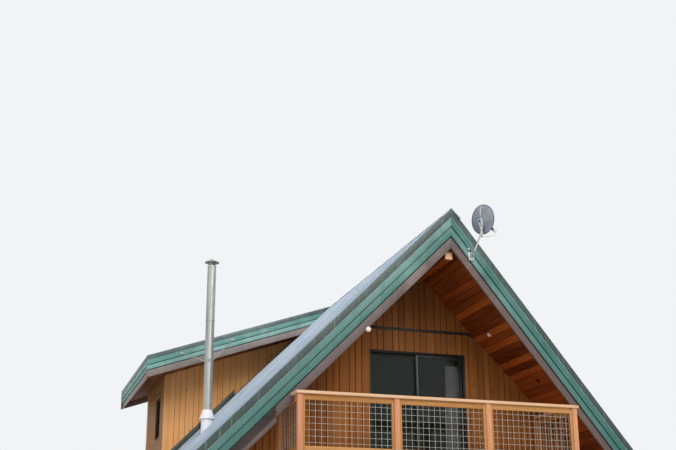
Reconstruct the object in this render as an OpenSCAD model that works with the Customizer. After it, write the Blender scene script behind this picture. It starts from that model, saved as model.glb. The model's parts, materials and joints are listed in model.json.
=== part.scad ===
// Timber cabin with a steep gable roof, a pointed front overhang, a balcony and a shed dormer.
// X runs across the front, the front looks towards -Y, and Z = 0 is the ground.

/* [Roof] */
// Height of the roof covering at the ridge
ridge_h = 7560; // [7200:10:7900]
// Slope of the two main roof sides, in degrees
roof_pitch = 45.6; // [44:0.1:47]
// Length of the ridge, from the front point to the back
ridge_len = 11300; // [11000:50:12000]
// Half the width of the roof, from the ridge to one eave
eave_x = 5200; // [5000:50:5500]
// Set-back of the front edge for each unit away from the ridge
prow = 0.224; // [0.15:0.002:0.26]
// Depth of the roof from covering to lining, square to the slope
roof_depth = 446; // [430:2:470]
// Height of the boxed eaves
eave_box_h = 330; // [260:10:400]

/* [Walls and floors] */
// Half the width of the building over its side walls
wall_x = 4200; // [4000:20:4400]
// Distance of the front wall behind the front point of the ridge
front_wall_back = 1676; // [1500:2:1900]
// Distance of the back wall in front of the back end of the ridge
back_wall_in = 700; // [500:10:900]
// Thickness of the outer walls
wall_t = 150; // [120:5:200]
// Top of the ground slab
slab_h = 200; // [150:10:300]
// Top of the upper floor
upper_z = 3300; // [3250:10:3350]
// Thickness of the upper floor
upper_t = 280; // [220:10:300]

/* [Doors and windows] */
// Width of the two sliding doors over their frames
door_w = 1830; // [1700:10:1900]
// Height of the two sliding doors over their frames
door_h = 2073; // [2000:1:2150]
// Width of the windows
window_w = 1000; // [800:20:1060]
// Height of the windows
window_h = 1000; // [800:20:1060]
// Width of the door frames' bars seen from the front
frame_bar = 26; // [24:2:40]

/* [Dormer] */
// Distance of the dormer's rake behind the front point of the ridge
dormer_rake_back = 6178; // [6000:2:6400]
// Distance of the dormer's front wall behind the front point of the ridge
dormer_wall_back = 7560; // [7300:2:7700]
// Length of the dormer over its front and back wall
dormer_len = 2640; // [2500:10:2700]
// Distance of the dormer's outer wall from the ridge
dormer_wall_x = 3590; // [3500:10:3750]
// Distance of the dormer's eave from the ridge
dormer_eave_x = 4225; // [4100:5:4300]
// Fall of the dormer's roof for each unit away from the ridge
dormer_fall = 0.345; // [0.33:0.001:0.36]
// Thickness of the dormer's walls
dormer_wall_t = 120; // [100:5:150]

/* [Balcony] */
// Top of the balcony deck
deck_z = 3270; // [3240:5:3290]
// Distance of the railing behind the front point of the ridge
rail_back = 402; // [380:2:450]
// Height of the railing's cap over the deck
rail_h = 1062; // [1040:2:1080]
// Clear width of one mesh panel
panel_w = 1472; // [1440:2:1480]
// Side of the square posts
post_w = 89; // [80:1:100]
// Width of the panel frames' bars
stile_w = 43; // [38:1:45]
// Spacing of the wires
mesh_pitch = 101.6; // [100:0.1:104]
// Thickness of the wires
wire_d = 5; // [4:0.5:6]
// Sideways shift of the whole balcony
balcony_shift = -105; // [-120:5:-80]

/* [Stove pipe] */
// Outer diameter of the stove pipe
pipe_d = 178; // [150:2:200]
// Distance of the pipe to the left of the ridge
pipe_x = 3148; // [3100:4:3200]
// Distance of the pipe behind the front point of the ridge
pipe_back = 5000; // [4950:10:5050]
// Height of the pipe's top
pipe_top = 7700; // [7500:10:7800]

/* [Dish] */
// Width of the dish
dish_w = 530; // [500:5:560]
// Rise of the dish's aim over the horizon, in degrees
dish_tilt = 8.5; // [6:0.5:14]
// Turn of the dish's aim from straight ahead towards the right, in degrees
dish_turn = 110.5; // [104:0.5:118]

/* [Hidden] */

wood = "#9a6a43";
siding = "#a9744a";
green = "#4f8f7d";
dark_metal = "#2f3c3c";
roof_metal = "#8d9da3";
brown = "#75655f";
redwood = "#c2865c";
steel = "#b9bdbd";
concrete = "#9b9a94";
glass = "#8fa7a5";
bronze = "#2a2522";
white_metal = "#d4d3da";

// The main planes
fall = tan(roof_pitch);
plumb = 1 / cos(roof_pitch);
front_y = -ridge_len / 2;
back_y = ridge_len / 2;
wall_y = front_y + front_wall_back;
back_wall_y = back_y - back_wall_in;
eave_low = ridge_h - fall * eave_x - eave_box_h;
past = 5;

// Layers of the main roof, square to the slope
deck_t = 60;
lining_t = 20;
lining_joint = 2;
rafter_w = 45;
rafter_step = 610;
cap_half = 150;
cap_t = 14;
beam_w = 130;
beam_low = 6700;
beam_set_back = 170;
beam_pocket = 50;

// Steps of the front rake: lower edges square to the slope, set-backs and thicknesses
fascia_t = 38;
trim_rise = 16;
edge_d = 107;
upper_d = 215;
lower_d = 330;
barge_gap = 8;
barge_d = 481;
tail_d = 63;
tail_x = 2870;
step_1 = 14;
step_2 = 32;
step_3 = 56;
rake_t = 72;
barge_t = 100;

// Dark trim across the front gable
belt_z = 5761;
belt_h = 74;
belt_t = 24;

// Windows of the side, gable and dormer walls
side_window_y = [-1900, 2900];
low_window_z = 1180;
gable_window_x = 2700;
upper_window_z = 4250;
small_window_w = 650;
small_window_h = 950;
small_window_z = 4560;
small_window_in = 925;
window_bar = 50;
pane_t = 20;

// Sliding doors: two leaves in two planes of one frame
leaf_t = 40;
leaf_gap = 2;
leaf_y = [64, 20];
leaf_bar = 36;
meeting_w = 42;
leaf_in = frame_bar + leaf_gap;
leaf_w = (door_w - 2 * leaf_in + meeting_w) / 2;
leaf_h = door_h - 2 * leaf_in;

// Layers of the dormer, square to its slope
d_rake_y = front_y + dormer_rake_back;
d_wall_y = front_y + dormer_wall_back;
d_back_y = d_wall_y + dormer_len;
d_back_over = 300;
dormer_top = ridge_h - 105;
dormer_plumb = sqrt(1 + dormer_fall * dormer_fall);
d_depth = 300;
d_deck_t = 50;
d_edge = 90;
d_upper = 190;
d_low = 285;
d_barge = 435;
d_barge_in = 44;
trim_joint = 2;
well_in = 40;
flash_from = 2040;
flash_h = 76;
flash_t = 8;

// Balcony
board_t = 38;
joist_t = 45;
joist_h = 235;
joists = 9;
hanger_gap = 2;
support_w = 140;
support_in = 120;
deck_out = 10;
rail_y = front_y + rail_back;
cap_z = deck_z + rail_h;
cap_h = 48;
cap_w = 140;
rail_bar_h = 94;
open_h = 730;
open_top = cap_z - cap_h - rail_bar_h;
frame_low = open_top - open_h - rail_bar_h;
group_w = post_w + 2 * stile_w;
balcony_half = 1.5 * panel_w + group_w + stile_w + post_w;
deck_front = rail_y - post_w / 2;
deck_x0 = balcony_shift - balcony_half - deck_out;
deck_x1 = balcony_shift + balcony_half + deck_out;
// Left edges of the four front posts
post_x = [for (i = [0:3]) balcony_shift - balcony_half + i * (panel_w + group_w)];
side_open = wall_y - deck_front - post_w - 3 * stile_w;
first_row = 67;
rows = 7;
let_in = 10;

// Stove pipe
pipe_y = front_y + pipe_back;
pipe_low = ridge_h - fall * (pipe_x + pipe_d / 2) + 6;
pipe_base = ridge_h - fall * (pipe_x - pipe_d / 2) + 60;
sleeve_d = pipe_d + 50;
skirt_z = pipe_low + 270;
skirt_h = 180;
skirt_d = 306;
cap_r = pipe_d / 2 + 60;
cap_gap = 84;
cap_rim = 6;
cap_cone_h = 80;
cap_tip_r = 24;
leg = [10, 24, 92];
band_h = 60;
band_t = 6;
brace_z = 5710;
brace_d = 18;
brace_x = [-3488, -2411];
brace_depth = 150;

// Dish, with its own axis along the aim and its feed arm below
dish_at = [578, front_y + 50, 7449];
dish_deep = 62;
dish_tk = 6;
arm_w = 24;
arm_low = -dish_w / 2 - 42;
arm_reach = 322;
arm_rise = 103;
arm_lean = 27;
feed_up = 111;
feed_d = 60;
feed_l = 94;
feed_lean = 13;
bracket_back = 44;
bracket_t = 30;
saddle = [90, 170];
saddle_top = 20;
foot_x = 390;
foot_z = 6770;
foot = [110, 40, 150];
clamp_at = [411, front_y - 6, 6850];
mast_d = 34;
mast_top = [548, front_y, 7170];

// Lights
light_d = 90;
light_t = 40;
light_z = 5410;
light_x = [-1410, 1205];
light_back = 1150;

// Height of the main roof's covering at distance x from the ridge, less a depth square to the slope
function roof_z(x, d = 0) = ridge_h - fall * abs(x) - d * plumb;
// Distance from the ridge at which a layer of the main roof has height z
function roof_x(z, d = 0) = (ridge_h - d * plumb - z) / fall;
// Height of the dormer's roof at distance x from the ridge, less a depth square to the slope
function dormer_z(x, d = 0) = dormer_top - dormer_fall * abs(x) - d * dormer_plumb;
// Distance from the ridge at which a layer of the dormer meets the main roof
function dormer_meet(d) = (ridge_h - dormer_top + d * dormer_plumb) / (fall - dormer_fall);
// Sag of the dish's face at radius r from its middle
function dish_sag(r) = dish_deep * pow(2 * r / dish_w, 2);

// Runs a drawing of the front along Y, from y0 to y1
module along_y(y0, y1) {
    translate([0, y1, 0]) rotate([90, 0, 0]) linear_extrude(y1 - y0) children();
}

// Plan of the roof between its pointed front, set back by inset, and the back
module roof_plan(inset) {
    linear_extrude(2 * ridge_h) polygon([
        [0, front_y + inset], [eave_x, front_y + inset + prow * eave_x], [eave_x, back_y],
        [-eave_x, back_y], [-eave_x, front_y + inset + prow * eave_x]]);
}

// Plan of a board that follows the pointed front, between two set-backs
module prow_layer(inset, to) {
    linear_extrude(2 * ridge_h) polygon([
        [0, front_y + inset], [eave_x, front_y + inset + prow * eave_x],
        [eave_x, front_y + to + prow * eave_x], [0, front_y + to],
        [-eave_x, front_y + to + prow * eave_x], [-eave_x, front_y + inset + prow * eave_x]]);
}

// Front view of one roof layer on the side s (-1 left, 1 right), from x0 to x1
module slope_band(s, d0, d1, x0, x1) {
    polygon([[s * x0, roof_z(x0, d0)], [s * x1, roof_z(x1, d0)], [s * x1, roof_z(x1, d1)],
        [s * x0, roof_z(x0, d1)]]);
}

// Front view of both slopes' bands joined at the ridge
module chevron(d0, d1) {
    x1 = eave_x;
    polygon([[0, roof_z(0, d0)], [x1, roof_z(x1, d0)], [x1, roof_z(x1, d1)], [0, roof_z(0, d1)],
        [-x1, roof_z(x1, d1)], [-x1, roof_z(x1, d0)]]);
}

// The room under the dormer, cut out of the left slope
module dormer_well() {
    inner = dormer_wall_x - dormer_wall_t;
    translate([-inner, d_wall_y + dormer_wall_t, 0])
        cube([inner - cap_half - well_in, dormer_len - 2 * dormer_wall_t, 2 * ridge_h]);
}

// Everything above a level, which is the boxed eaves' underside unless another is given
module above_eaves(low = eave_low) {
    translate([-2 * eave_x, -ridge_len, low]) cube([4 * eave_x, 2 * ridge_len, ridge_h]);
}

// A box through a gable wall of thickness t that starts at y, with its low left corner at x0, z0
module wall_box(x0, z0, w, h, y) {
    translate([x0, y - past, z0]) cube([w, wall_t + 2 * past, h]);
}

// A rod between two points
module rod(a, b, d) {
    v = b - a;
    len = norm(v);
    translate(a) rotate([0, acos(v[2] / len), atan2(v[1], v[0])]) cylinder(h = len, d = d, $fn = 16);
}

module foundation_slab() {
    color(concrete) translate([-wall_x, wall_y, 0]) cube([2 * wall_x, back_wall_y - wall_y, slab_h]);
}

module upper_floor() {
    half = roof_x(upper_z, roof_depth);
    low_half = min(wall_x - wall_t, roof_x(upper_z - upper_t, roof_depth));
    color(wood) along_y(wall_y + wall_t, back_wall_y - wall_t)
        polygon([[-low_half, upper_z - upper_t], [low_half, upper_z - upper_t], [half, upper_z],
            [-half, upper_z]]);
}

// The two side walls under the eaves, each with its windows
module side_walls() {
    inner = wall_x - wall_t;
    color(siding) difference() {
        for (s = [-1, 1])
            along_y(wall_y + wall_t, back_wall_y - wall_t)
                polygon([[s * inner, slab_h], [s * wall_x, slab_h], [s * wall_x, roof_z(wall_x, roof_depth)],
                    [s * inner, roof_z(inner, roof_depth)]]);
        for (y = side_window_y)
            translate([-2 * wall_x, y - window_w / 2, low_window_z]) cube([4 * wall_x, window_w, window_h]);
    }
}

// Front view of the lower storey's gable wall
module lower_gable() {
    knee = roof_z(wall_x, roof_depth);
    top = roof_x(upper_z, roof_depth);
    polygon([[-wall_x, slab_h], [wall_x, slab_h], [wall_x, knee], [top, upper_z], [-top, upper_z],
        [-wall_x, knee]]);
}

// Front view of the upper storey's gable wall
module upper_gable() {
    half = roof_x(upper_z, roof_depth);
    polygon([[-half, upper_z], [half, upper_z], [0, roof_z(0, roof_depth)]]);
}

// The ridge beam's path, grown lengthwise by extra
module beam_path(extra = 0) {
    half = beam_w / 2;
    along_y(front_y + beam_set_back - extra, back_y - beam_set_back + extra)
        polygon([[-half, beam_low], [half, beam_low], [half, roof_z(half, deck_t)], [0, roof_z(0, deck_t)],
            [-half, roof_z(half, deck_t)]]);
}

module ridge_beam() { color(wood) beam_path(); }

module lower_front_wall() {
    color(siding) difference() {
        along_y(wall_y, wall_y + wall_t) lower_gable();
        wall_box(-door_w / 2, slab_h - past, door_w, door_h + past, wall_y);
        for (s = [-1, 1])
            wall_box(s * gable_window_x - window_w / 2, low_window_z, window_w, window_h, wall_y);
    }
}

module upper_front_wall() {
    color(siding) difference() {
        along_y(wall_y, wall_y + wall_t) upper_gable();
        wall_box(-door_w / 2, upper_z - past, door_w, door_h + past, wall_y);
        beam_path(beam_pocket);
    }
}

module back_wall() {
    y = back_wall_y - wall_t;
    color(siding) difference() {
        along_y(y, back_wall_y) {
            lower_gable();
            upper_gable();
        }
        for (s = [-1, 1])
            wall_box(s * gable_window_x - window_w / 2, low_window_z, window_w, window_h, y);
        wall_box(-window_w / 2, upper_window_z, window_w, window_h, y);
        beam_path(beam_pocket);
    }
}

module gable_belt_trim() {
    low = roof_x(belt_z, roof_depth);
    high = roof_x(belt_z + belt_h, roof_depth);
    color(bronze) along_y(wall_y - belt_t, wall_y)
        polygon([[-low, belt_z], [low, belt_z], [high, belt_z + belt_h], [-high, belt_z + belt_h]]);
}

// Covering of one main slope
module main_slope(s) {
    intersection() {
        along_y(front_y, back_y - fascia_t) slope_band(s, 0, deck_t, 0, eave_x - fascia_t);
        roof_plan(rake_t);
    }
}

module left_roof() {
    color(roof_metal) difference() {
        main_slope(-1);
        dormer_well();
    }
}

module right_roof() { color(roof_metal) main_slope(1); }

module ridge_cap() {
    x = cap_half;
    color(roof_metal) along_y(front_y, back_y)
        polygon([[0, roof_z(0, -cap_t)], [x, roof_z(x, -cap_t)], [x, roof_z(x)], [0, roof_z(0)],
            [-x, roof_z(x)], [-x, roof_z(x, -cap_t)]]);
}

// Rafters of both slopes, from the ridge beam to the boxed eaves
module rafters() {
    count = floor((ridge_len - 2 * rafter_w - rake_t) / rafter_step);
    first = back_y - fascia_t - rafter_w - count * rafter_step;
    color(wood) difference() {
        intersection() {
            roof_plan(barge_t);
            above_eaves(eave_low + lining_t);
            for (i = [0:count], s = [-1, 1])
                along_y(first + i * rafter_step, first + i * rafter_step + rafter_w)
                    slope_band(s, deck_t, roof_depth - lining_t, beam_w / 2, eave_x - fascia_t);
        }
        dormer_well();
    }
}

// Lining boards under one main slope, turned level at the boxed eave
module main_lining(s) {
    in_x = roof_x(eave_low + lining_t, roof_depth - lining_t);
    out_x = roof_x(eave_low, roof_depth);
    x0 = beam_w / 2;
    x1 = eave_x - fascia_t;
    intersection() {
        along_y(front_y, back_y - fascia_t)
            polygon([[s * x0, roof_z(x0, roof_depth - lining_t)], [s * in_x, eave_low + lining_t],
                [s * x1, eave_low + lining_t], [s * x1, eave_low], [s * out_x, eave_low],
                [s * x0, roof_z(x0, roof_depth)]]);
        roof_plan(barge_t);
    }
}

// Linings under both main slopes and under the dormer's roof
module soffit_linings() {
    color(wood) {
        difference() {
            union() for (s = [-1, 1]) main_lining(s);
            dormer_well();
            for (y = [d_wall_y + dormer_wall_t, d_back_y - dormer_wall_t])
                translate([-eave_x, y - lining_joint / 2, 0]) cube([eave_x, lining_joint, ridge_h]);
        }
        along_y(d_rake_y + rake_t, d_back_y + d_back_over)
            dormer_band(d_depth - lining_t, d_depth, dormer_eave_x - fascia_t);
    }
}

// One step of the front rake, between two depths and two set-backs, mitred at the ridge
module rake_step(d0, d1, inset, to) {
    intersection() {
        along_y(front_y, back_y) chevron(d0, d1);
        prow_layer(inset, to);
        above_eaves();
    }
}

module rake_edge_trim() { color(dark_metal) rake_step(-trim_rise, edge_d, 0, rake_t); }

module rake_fascias() {
    color(green) {
        rake_step(edge_d, upper_d, step_1, rake_t);
        rake_step(upper_d, lower_d, step_2, rake_t);
    }
}

// Boards under the fascias; the left one has a deeper tail below the balcony
module barge_boards() {
    color(brown) {
        rake_step(lower_d + barge_gap, barge_d, step_3, barge_t);
        intersection() {
            rake_step(lower_d + barge_gap, barge_d + tail_d, step_3, barge_t);
            translate([-eave_x, -ridge_len, 0]) cube([eave_x - tail_x, 2 * ridge_len, ridge_h]);
        }
    }
}

module back_rake_boards() {
    color(green) intersection() {
        along_y(back_y - fascia_t, back_y) chevron(0, barge_d);
        above_eaves();
    }
}

module eave_fascias() {
    y0 = front_y + barge_t + prow * eave_x + past;
    color(green) for (s = [-1, 1])
        translate([s > 0 ? eave_x - fascia_t : -eave_x, y0, eave_low])
            cube([fascia_t, back_y - fascia_t - y0, eave_box_h]);
}

// Front view of a dormer layer between two depths, from where it meets the main roof to x1
module dormer_band(d0, d1, x1) {
    a = dormer_meet(d0);
    b = dormer_meet(d1);
    polygon([[-a, roof_z(a)], [-x1, dormer_z(x1, d0)], [-x1, dormer_z(x1, d1)], [-b, roof_z(b)]]);
}

// The dormer's two end walls, between its lining and the main roof
module dormer_end_walls() {
    a = dormer_meet(d_depth);
    x1 = dormer_wall_x;
    color(siding) for (y = [d_wall_y, d_back_y - dormer_wall_t])
        along_y(y, y + dormer_wall_t)
            polygon([[-a, roof_z(a)], [-x1, dormer_z(x1, d_depth)], [-x1, roof_z(x1)]]);
}

module dormer_outer_wall() {
    x1 = dormer_wall_x;
    inner = x1 - dormer_wall_t;
    color(siding) difference() {
        along_y(d_wall_y + dormer_wall_t, d_back_y - dormer_wall_t)
            polygon([[-inner, roof_z(x1)], [-inner, dormer_z(inner, d_depth)], [-x1, dormer_z(x1, d_depth)],
                [-x1, roof_z(x1)]]);
        translate([-x1 - past, d_wall_y + small_window_in - small_window_w / 2, small_window_z])
            cube([dormer_wall_t + 2 * past, small_window_w, small_window_h]);
    }
}

module dormer_roof() {
    color(roof_metal) along_y(d_rake_y + rake_t, d_back_y + d_back_over)
        dormer_band(0, d_deck_t, dormer_eave_x - fascia_t);
}

// A band of the dormer's rake: on the front end with a set-back, and plainly on the back end
module dormer_rake(d0, d1, set_back) {
    back = d_back_y + d_back_over;
    along_y(d_rake_y + set_back, d_rake_y + rake_t) dormer_band(d0, d1, dormer_eave_x);
    along_y(back, back + rake_t - set_back) dormer_band(d0, d1, dormer_eave_x);
}

module dormer_fascia() {
    color(green) {
        dormer_rake(d_edge, d_upper, step_1);
        dormer_rake(d_upper, d_low, step_2);
    }
}

module dormer_barge_boards() { color(brown) dormer_rake(d_low + barge_gap, d_barge, d_barge_in); }

// Dark trim over the dormer's rakes and down its eave
module dormer_edge_trim() {
    x0 = dormer_eave_x;
    x1 = x0 - fascia_t;
    low = dormer_z(x0, d_barge);
    color(dark_metal) {
        dormer_rake(0, d_edge, 0);
        along_y(d_rake_y + rake_t + trim_joint, d_back_y + d_back_over - trim_joint)
            polygon([[-x0, dormer_z(x0)], [-x1, dormer_z(x1)], [-x1, low], [-x0, low]]);
    }
}

module wall_flashing() {
    x0 = flash_from;
    x1 = dormer_wall_x;
    color(dark_metal) along_y(d_wall_y - flash_t, d_wall_y)
        polygon([[-x0, roof_z(x0)], [-x0, roof_z(x0, -flash_h)], [-x1, roof_z(x1, -flash_h)],
            [-x1, roof_z(x1)]]);
}

module stove_pipe() {
    color(steel) translate([-pipe_x, pipe_y, pipe_base])
        cylinder(h = pipe_top - pipe_base, d = pipe_d, $fn = 48);
}

// A sheet-metal sleeve cut to the slope, with a storm collar round its top
module pipe_flashing() {
    base_z = roof_z(pipe_x + sleeve_d);
    color(white_metal) difference() {
        translate([-pipe_x, pipe_y, 0]) {
            translate([0, 0, base_z]) cylinder(h = skirt_z - base_z, d = sleeve_d, $fn = 48);
            translate([0, 0, skirt_z]) cylinder(h = skirt_h, d1 = skirt_d, d2 = pipe_d + 2 * past, $fn = 48);
        }
        along_y(front_y, back_y) polygon([[0, roof_z(0)], [-eave_x, roof_z(eave_x)], [-eave_x, 0], [0, 0]]);
        translate([-pipe_x, pipe_y, pipe_base]) cylinder(h = ridge_h, d = pipe_d, $fn = 48);
    }
}

// A rain cap on four legs
module pipe_cap() {
    color(steel) translate([-pipe_x, pipe_y, pipe_top]) {
        for (a = [45:90:315])
            rotate([0, 0, a]) translate([pipe_d / 2 - leg[0] - 4, -leg[1] / 2, 0]) cube(leg);
        translate([0, 0, cap_gap]) cylinder(h = cap_rim, r = cap_r, $fn = 48);
        translate([0, 0, cap_gap + cap_rim]) cylinder(h = cap_cone_h, r1 = cap_r, r2 = cap_tip_r, $fn = 48);
    }
}

// A band round the pipe with two rods to the dormer's fascia
module pipe_braces() {
    color(steel) {
        translate([-pipe_x, pipe_y, brace_z - band_h / 2]) difference() {
            cylinder(h = band_h, d = pipe_d + 2 * band_t, $fn = 48);
            translate([0, 0, -past]) cylinder(h = band_h + 2 * past, d = pipe_d, $fn = 48);
        }
        for (x = brace_x)
            rod([-pipe_x + sign(x + pipe_x) * pipe_d / 3, pipe_y + 0.4 * pipe_d, brace_z],
                [x, d_rake_y + step_1 + past, dormer_z(x, brace_depth)], brace_d);
    }
}

// Turns the dish's own axis, +Z, to its aim
module dish_aim() {
    translate(dish_at) rotate([0, 0, dish_turn]) rotate([90 - dish_tilt, 0, 0]) children();
}

module dish_reflector() {
    n = 10;
    radii = [for (i = [0:n]) dish_w / 2 * i / n];
    face = [for (r = radii) [r, dish_sag(r)]];
    rear = [for (i = [n:-1:0]) [radii[i], dish_sag(radii[i]) - dish_tk]];
    color(steel) dish_aim() rotate_extrude($fn = 48) polygon(concat(face, rear));
}

// A square bar along the dish's own axis, centred at height y, from z0 to z1
module arm_bar(y, z0, z1, w) {
    translate([-w / 2, y - w / 2, z0]) cube([w, w, z1 - z0]);
}

// The feed arm below the dish, its turned-up end and the feed
module dish_arm() {
    color(white_metal) dish_aim() {
        arm_bar(arm_low, -bracket_back, arm_reach, arm_w);
        translate([-arm_w / 2, arm_low, arm_reach]) rotate([arm_lean, 0, 0])
            translate([0, -arm_w / 3, -arm_w]) cube([arm_w, arm_rise, arm_w]);
        translate([0, arm_low + feed_up, arm_reach]) rotate([feed_lean, 0, 0])
            translate([0, 0, -feed_l / 2]) cylinder(h = feed_l, d = feed_d, $fn = 32);
    }
}

// Foot plate on the rake, a leaning mast and the bracket behind the dish
module dish_mast() {
    face_y = front_y + step_1 + prow * foot_x;
    color(steel) {
        translate([foot_x - foot[0] / 2, face_y - foot[1], foot_z - foot[2] / 2]) cube(foot);
        rod([foot_x, face_y - foot[1] / 2, foot_z + mast_d], clamp_at + [-5, 0, 10], 0.9 * mast_d);
        rod(clamp_at, mast_top, mast_d);
        rod(mast_top - [4, 0, 30], dish_at - [40, 14, 150], 1.4 * mast_d);
        dish_aim() {
            translate([-saddle[0] / 2, saddle_top - saddle[1], -dish_tk - bracket_t])
                cube([saddle[0], saddle[1], bracket_t]);
            translate([-bracket_t, arm_low - arm_w / 2, -bracket_back])
                cube([2 * bracket_t, saddle_top - saddle[1] - arm_low + arm_w, bracket_t]);
        }
    }
}

module balcony_deck() {
    color(redwood) translate([deck_x0, deck_front, deck_z - board_t])
        cube([deck_x1 - deck_x0, wall_y - deck_front, board_t]);
}

// A rim joist with the joists behind it, each clear of the rim by its hanger
module balcony_joists() {
    z0 = deck_z - board_t - joist_h;
    y0 = deck_front + joist_t + hanger_gap;
    span = deck_x1 - deck_x0 - joist_t;
    color(redwood) {
        translate([deck_x0, deck_front, z0]) cube([deck_x1 - deck_x0, joist_t, joist_h]);
        for (i = [0:joists - 1])
            translate([deck_x0 + span * i / (joists - 1), y0, z0]) cube([joist_t, wall_y - y0, joist_h]);
    }
}

// The two posts that carry the balcony from the ground
module balcony_posts() {
    h = deck_z - board_t - joist_h;
    color(redwood) for (x = [deck_x0 + support_in, deck_x1 - support_in - support_w])
        translate([x, deck_front + joist_t, 0]) cube([support_w, support_w, h]);
}

// Four front posts and the two half posts at the wall
module railing_posts() {
    h = cap_z - cap_h - deck_z;
    color(redwood) {
        for (x = post_x) translate([x, deck_front, deck_z]) cube([post_w, post_w, h]);
        for (x = [post_x[0], post_x[3]]) translate([x, wall_y - stile_w, deck_z]) cube([post_w, stile_w, h]);
    }
}

module railing_cap() {
    x0 = post_x[0] - (cap_w - post_w) / 2;
    x1 = post_x[3] + post_w + (cap_w - post_w) / 2;
    y0 = rail_y - cap_w / 2;
    color(redwood) translate([0, 0, cap_z - cap_h]) {
        translate([x0, y0, 0]) cube([x1 - x0, cap_w, cap_h]);
        for (x = [x0, x1 - cap_w]) translate([x, y0, 0]) cube([cap_w, wall_y - y0, cap_h]);
    }
}

// A timber frame round a panel of width w, standing along X with its outer low corner at the origin
module panel_frame(w) {
    difference() {
        translate([0, -stile_w / 2, 0]) cube([w + 2 * stile_w, stile_w, open_h + 2 * rail_bar_h]);
        translate([stile_w, -stile_w, rail_bar_h]) cube([w, 2 * stile_w, open_h]);
    }
}

// Crossed wires, let into a frame round a panel of width w
module mesh_panel(w) {
    n = floor(w / mesh_pitch);
    x0 = stile_w + (w - (n - 1) * mesh_pitch) / 2;
    top = rail_bar_h + open_h - first_row;
    for (i = [0:n - 1])
        translate([x0 + i * mesh_pitch - wire_d / 2, -wire_d / 2, rail_bar_h - let_in])
            cube([wire_d, wire_d, open_h + 2 * let_in]);
    for (j = [0:rows - 1])
        translate([stile_w - let_in, -wire_d / 2, top - j * mesh_pitch])
            cube([w + 2 * let_in, wire_d, wire_d]);
}

// Puts its child in each bay of the front railing
module front_panels() {
    for (i = [0:2]) translate([post_x[i] + post_w, rail_y, frame_low]) children();
}

// Puts its child on each side of the balcony, turned to run back to the wall
module side_panels() {
    for (x = [post_x[0] + post_w / 2, post_x[3] + post_w / 2])
        translate([x, deck_front + post_w, frame_low]) rotate([0, 0, 90]) children();
}

module railing_frames() {
    color(redwood) {
        front_panels() panel_frame(panel_w);
        side_panels() panel_frame(side_open);
    }
}

module railing_mesh_front() { color(steel) front_panels() mesh_panel(panel_w); }
module railing_mesh_sides() { color(steel) side_panels() mesh_panel(side_open); }

// A rectangular frame of outer size w, h and depth t: bar is its top and bottom, left and right its sides
module bar_frame(w, h, t, bar, left, right) {
    difference() {
        cube([w, t, h]);
        translate([left, -past, bar]) cube([w - left - right, t + 2 * past, h - 2 * bar]);
    }
}

// Low left corner of leaf i: 0 is on the left and behind, 1 on the right and in front
function leaf_at(i) = [i == 0 ? leaf_in - door_w / 2 : door_w / 2 - leaf_in - leaf_w, leaf_y[i], leaf_in];

// Puts its children in both door openings, with the low middle of the outer face at the origin
module in_doors() {
    for (z = [slab_h, upper_z]) translate([0, wall_y, z]) children();
}

module door_frames() {
    color(bronze) in_doors() {
        translate([-door_w / 2, 0, 0]) bar_frame(door_w, door_h, wall_t, frame_bar, frame_bar, frame_bar);
        for (i = [0, 1])
            translate(leaf_at(i))
                bar_frame(leaf_w, leaf_h, leaf_t, leaf_bar, i == 0 ? leaf_bar : meeting_w,
                    i == 0 ? meeting_w : leaf_bar);
    }
}

module door_glass() {
    color(glass) in_doors() for (i = [0, 1])
        translate(leaf_at(i) + [i == 0 ? leaf_bar : meeting_w, (leaf_t - pane_t) / 2, leaf_bar])
            cube([leaf_w - leaf_bar - meeting_w, pane_t, leaf_h - 2 * leaf_bar]);
}

// Shape 0 is a window's frame and 1 its pane, of outer size w, h and depth t
module window(shape, w, h, t) {
    if (shape == 0) bar_frame(w, h, t, window_bar, window_bar, window_bar);
    else translate([window_bar, (t - pane_t) / 2, window_bar])
        cube([w - 2 * window_bar, pane_t, h - 2 * window_bar]);
}

// One frame or pane in each window of the gable walls, the side walls and the dormer
module all_windows(shape) {
    y_back = back_wall_y - wall_t;
    for (s = [-1, 1], y = [wall_y, y_back])
        translate([s * gable_window_x - window_w / 2, y, low_window_z])
            window(shape, window_w, window_h, wall_t);
    translate([-window_w / 2, y_back, upper_window_z]) window(shape, window_w, window_h, wall_t);
    for (x = [-wall_x + wall_t, wall_x], y = side_window_y)
        translate([x, y - window_w / 2, low_window_z]) rotate([0, 0, 90])
            window(shape, window_w, window_h, wall_t);
    y_small = d_wall_y + small_window_in - small_window_w / 2;
    translate([-dormer_wall_x + dormer_wall_t, y_small, small_window_z]) rotate([0, 0, 90])
        window(shape, small_window_w, small_window_h, dormer_wall_t);
}

module window_frames() { color(bronze) all_windows(0); }
module window_glass() { color(glass) all_windows(1); }

// One round light on the face of the left barge board and one under the right lining
module soffit_lights() {
    x = light_x[1];
    color(white_metal) {
        translate([light_x[0], front_y + step_3 - prow * light_x[0], light_z]) rotate([90, 0, -atan(prow)])
            cylinder(h = light_t, d = light_d, $fn = 32);
        translate([x, front_y + light_back, roof_z(x, roof_depth)]) rotate([0, roof_pitch, 0])
            translate([0, 0, -light_t]) cylinder(h = light_t, d = light_d, $fn = 32);
    }
}

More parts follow.
